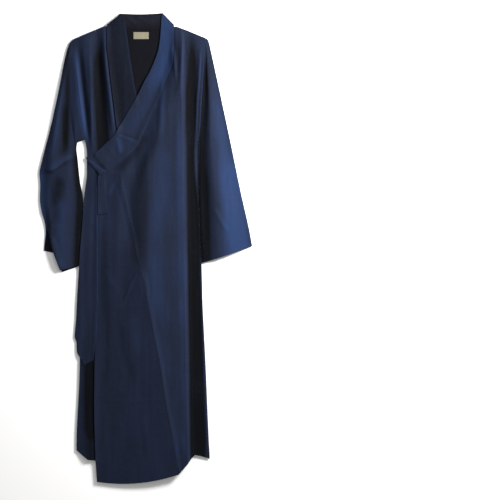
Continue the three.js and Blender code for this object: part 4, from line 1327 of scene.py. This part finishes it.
def tube_piece(name, layers, height, shades, wall):
    """A sleeve pressed flat: two layers with a thin wall, a rolled edge on both sides and both ends open."""
    (low_x, low_down), (up_x, up_down) = layers

    def ring(inward):
        low_z = np.full(low_x.shape, inward)
        up_z = height - inward
        columns = [np.stack((low_x, low_down, low_z), -1)[:, ::-1]]
        for k in (0, -1):
            a = np.stack((low_x[:, k], low_down[:, k], low_z[:, k]), -1)
            b = np.stack((up_x[:, k], up_down[:, k], up_z[:, k]), -1)
            other = np.stack((low_x[:, -1 - k], low_down[:, -1 - k]), -1)
            away = a[:, :2] - other
            away = away / np.maximum(1e-6, np.hypot(away[:, 0], away[:, 1]))[:, None]
            bend = []
            for step in range(1, SLEEVE_ARC):
                angle = math.pi * (step / SLEEVE_ARC - 0.5)
                middle = mix(a, b, 0.5 + 0.5 * math.sin(angle))
                middle[:, :2] += away * (SLEEVE_EDGE - inward) * math.cos(angle)
                bend.append(middle)
            bend = np.stack(bend, 1)
            if k == 0:
                columns += [bend, np.stack((up_x, up_down, up_z), -1)]
            else:
                columns.append(bend[:, ::-1])
        return np.concatenate(columns, 1)

    outside, inside = ring(0.0), ring(wall)
    rows, around = outside.shape[:2]
    flat = [r.reshape(-1, 3) for r in (outside, inside)]
    points = np.vstack([to_frame(*r.T) for r in flat])
    out = np.arange(rows * around).reshape(rows, around)
    after = np.roll(out, -1, 1)
    inn, inn_after = out + rows * around, after + rows * around
    faces = [
        np.stack((out[:-1], out[1:], after[1:], after[:-1]), -1).reshape(-1, 4),
        np.stack((inn[:-1], inn_after[:-1], inn_after[1:], inn[1:]), -1).reshape(-1, 4),
        np.stack((out[0], after[0], inn_after[0], inn[0]), -1),
        np.stack((out[-1], inn[-1], inn_after[-1], after[-1]), -1),
    ]
    indices = np.concatenate([np.full(len(f), kind) for f, kind in zip(faces, (0, 1, 0, 0))])
    uv = np.stack([walked(*np.moveaxis(outside, -1, 0), axis) for axis in (1, 0)], -1).reshape(-1, 2)
    lower = low_x.shape[1]
    tone = np.zeros((rows, around))
    first = lower + SLEEVE_ARC - 1
    tone[:, first : first + up_x.shape[1]] = shades
    tone[:, lower:first] = shades[:, :1]
    tone[:, first + up_x.shape[1] :] = shades[:, -1:]
    edge = np.zeros((rows, around))
    edge[-1] = 1
    # The outer surface carries the upper layer's painted light and shade; the inside walls get 1, the palest
    # colour of the inside material, still painted shade, lighter than in the neck
    attributes = {
        "fold": np.concatenate((tone.ravel(), np.full(rows * around, 1.0))),
        "edge": np.tile(edge.ravel(), 2),
    }
    return finish_mesh(name, points, np.vstack(faces), np.tile(uv, (2, 1)), attributes, (OUT, IN), indices)


def pull_in(x, down, depth):
    """A layer's plan, drawn in from both of its folded edges."""
    x, down = x.copy(), down.copy()
    width = np.hypot(x[:, -1] - x[:, 0], down[:, -1] - down[:, 0])
    share = np.clip(depth / np.maximum(width, 1e-6), 0, 0.3)[:, None]
    q = np.linspace(0, 1, x.shape[1])[None]
    pull = share * (1 - 2 * q)
    span_x, span_down = (x[:, -1] - x[:, 0])[:, None], (down[:, -1] - down[:, 0])[:, None]
    return x + span_x * pull, down + span_down * pull


class ROBE_OT_sleeves(Operator):
    """Both sleeves, each a tube pressed flat, open at the armhole and at the cuff"""

    bl_idname = "robe.sleeves"
    bl_label = "Sleeves"

    def execute(self, context):
        cloth = cloth_of(context)
        # Rows from armhole to cuff, closer at both ends so that the open edges turn crisply
        t = np.concatenate(([0, 0.0012], np.linspace(0.005, 0.995, 188), [0.9988, 1]))[:, None]
        left = LEFT_OUTER, LEFT_INNER, LEFT_CUFF
        right = RIGHT_OUTER, RIGHT_INNER, RIGHT_CUFF
        drops_left = (under_left, 0), (over_left, LEFT_CUFF_RISE)
        drops_right = (bow_right, 0), (bow_right, 0)
        for side, form, plan, drops, front, way, steps, flat, area in (
            ("left", LEFT_SLEEVE_FORM, left, drops_left, INNER_FORM, -1, 44, (0.30, 0.60), 0.115),
            ("right", RIGHT_SLEEVE_FORM, right, drops_right, OUTER_FORM, 1, 48, (0.34, 0.60), 0.13),
        ):
            q = np.linspace(0, 1, steps)[None]
            layers = []
            for drop, rise in drops:
                x, down = sleeve_plan(*plan, drop, rise, t, q)
                layers.append(pull_in(x + way * SLEEVE_GAP, down, SLEEVE_EDGE))
            x, down = layers[1]
            height = form_height(form, x, down) + waves(x, down) + CLOTH
            body = lay_panel(front, x[:1] - way, down[:1], top=True, over=False)
            height = height + (body - height[:1]) * (1 - smooth(t / SLEEVE_JOIN))
            shades = shade(form, x, down, height)
            piece = tube_piece("robe_sleeve_" + side, layers, height, shades, cloth.wall * 1000)
            if way < 0:
                piece.data.flip_normals()
            ground.add(x, down, height)
            stitches = sew("sleeve_" + side + "_stitches", piece, [inset(x, down, "hem", HEM_SEAM)], cloth)
            dress(piece, "sleeve_" + side, "cloth", flat, area, [], [stitches])
        return {"FINISHED"}


# The stage


FLOOR_REACH, FLOOR_Z = 14.0, -0.0003  # metres
# Place, aim and size of both lights, in metres
KEY_LIGHT = (1.15, 0.72, 0.85), (0.05, 0.05, 0), 0.55
FILL_LIGHT = (0.2, 2.4, 2.2), (0, 0.1, 0), 1.2


def area_light(name, place, aim, size, power, colour):
    light = bpy.data.lights.new(name, "AREA")
    light.shape, light.size, light.energy, light.color = "DISK", size, power, colour
    lamp = bpy.data.objects.new(name, light)
    lamp.location = place
    lamp.rotation_euler = (Vector(aim) - Vector(place)).to_track_quat("-Z", "Y").to_euler()
    lamp.visible_camera = False
    bpy.context.scene.collection.objects.link(lamp)


class ROBE_OT_stage(Operator):
    """Pale floor, soft studio light and a camera square over the robe"""

    bl_idname = "robe.stage"
    bl_label = "Stage"

    def execute(self, context):
        scene, stage = context.scene, context.scene.robe_stage
        lens = bpy.data.cameras.new("view")
        lens.sensor_width = 36
        lens.lens = lens.sensor_width * stage.view_height / stage.view_across
        lens.clip_end = 50
        camera = bpy.data.objects.new("view", lens)
        camera.location = (stage.view_x, stage.view_y, stage.view_height)
        scene.collection.objects.link(camera)
        scene.camera = camera

        mesh = bpy.data.meshes.new("floor")
        ways = (-1, -1), (1, -1), (1, 1), (-1, 1)
        mesh.from_pydata([(x * FLOOR_REACH, y * FLOOR_REACH, FLOOR_Z) for x, y in ways], [], [(0, 1, 2, 3)])
        material = bpy.data.materials.new("floor")
        material.use_nodes = True
        tree = material.node_tree
        shader = tree.nodes["Principled BSDF"]
        place = node(tree, "ShaderNodeTexCoord").outputs["Object"]
        grain = node(tree, "ShaderNodeTexNoise", {"Vector": place, "Scale": 60.0, "Detail": 3.0})
        rough = maths(tree, "MULTIPLY_ADD", grain.outputs["Fac"], 0.1, 0.75)
        tree.links.new(rough, shader.inputs["Roughness"])
        shader.inputs["Base Color"].default_value = (*stage.floor, 1)
        shader.inputs["Specular IOR Level"].default_value = 0.1
        mesh.materials.append(material)
        floor = bpy.data.objects.new("floor", mesh)
        scene.collection.objects.link(floor)

        world = bpy.data.worlds.new("room")
        world.use_nodes = True
        background = world.node_tree.nodes["Background"]
        background.inputs["Color"].default_value = (1, 1, 1, 1)
        background.inputs["Strength"].default_value = stage.ambient
        scene.world = world
        area_light("key", *KEY_LIGHT, stage.key_power, (1, 0.99, 0.97))
        area_light("fill", *FILL_LIGHT, stage.fill_power, (0.95, 0.97, 1))
        scene.view_settings.view_transform = "Standard"
        return {"FINISHED"}


class ROBE_PT_panel(Panel):
    """Lists the robe's operators"""

    bl_label = "Robe"
    bl_idname = "ROBE_PT_panel"
    bl_space_type = "VIEW_3D"
    bl_region_type = "UI"
    bl_category = "Robe"

    def draw(self, context):
        for name in STEPS:
            self.layout.operator("robe." + name)
        for group in (context.scene.robe_cloth, context.scene.robe_stage):
            for key in group.bl_rna.properties.keys():
                if key not in ("rna_type", "name"):
                    self.layout.prop(group, key)


STEPS = ("stage", "back", "label", "inner_front", "collar_under", "outer_front", "collar", "sleeves", "ties")
CLASSES = (
    RobeCloth,
    RobeStage,
    ROBE_OT_stage,
    ROBE_OT_back,
    ROBE_OT_label,
    ROBE_OT_inner_front,
    ROBE_OT_collar_under,
    ROBE_OT_outer_front,
    ROBE_OT_collar,
    ROBE_OT_sleeves,
    ROBE_OT_ties,
    ROBE_PT_panel,
)


def register():
    for item in CLASSES:
        bpy.utils.register_class(item)
    bpy.types.Scene.robe_cloth = PointerProperty(type=RobeCloth)
    bpy.types.Scene.robe_stage = PointerProperty(type=RobeStage)


def unregister():
    del bpy.types.Scene.robe_stage
    del bpy.types.Scene.robe_cloth
    for item in reversed(CLASSES):
        bpy.utils.unregister_class(item)


def main():
    register()
    for name in STEPS:
        getattr(bpy.ops.robe, name)()
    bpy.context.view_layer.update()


if __name__ == "__main__":
    main()
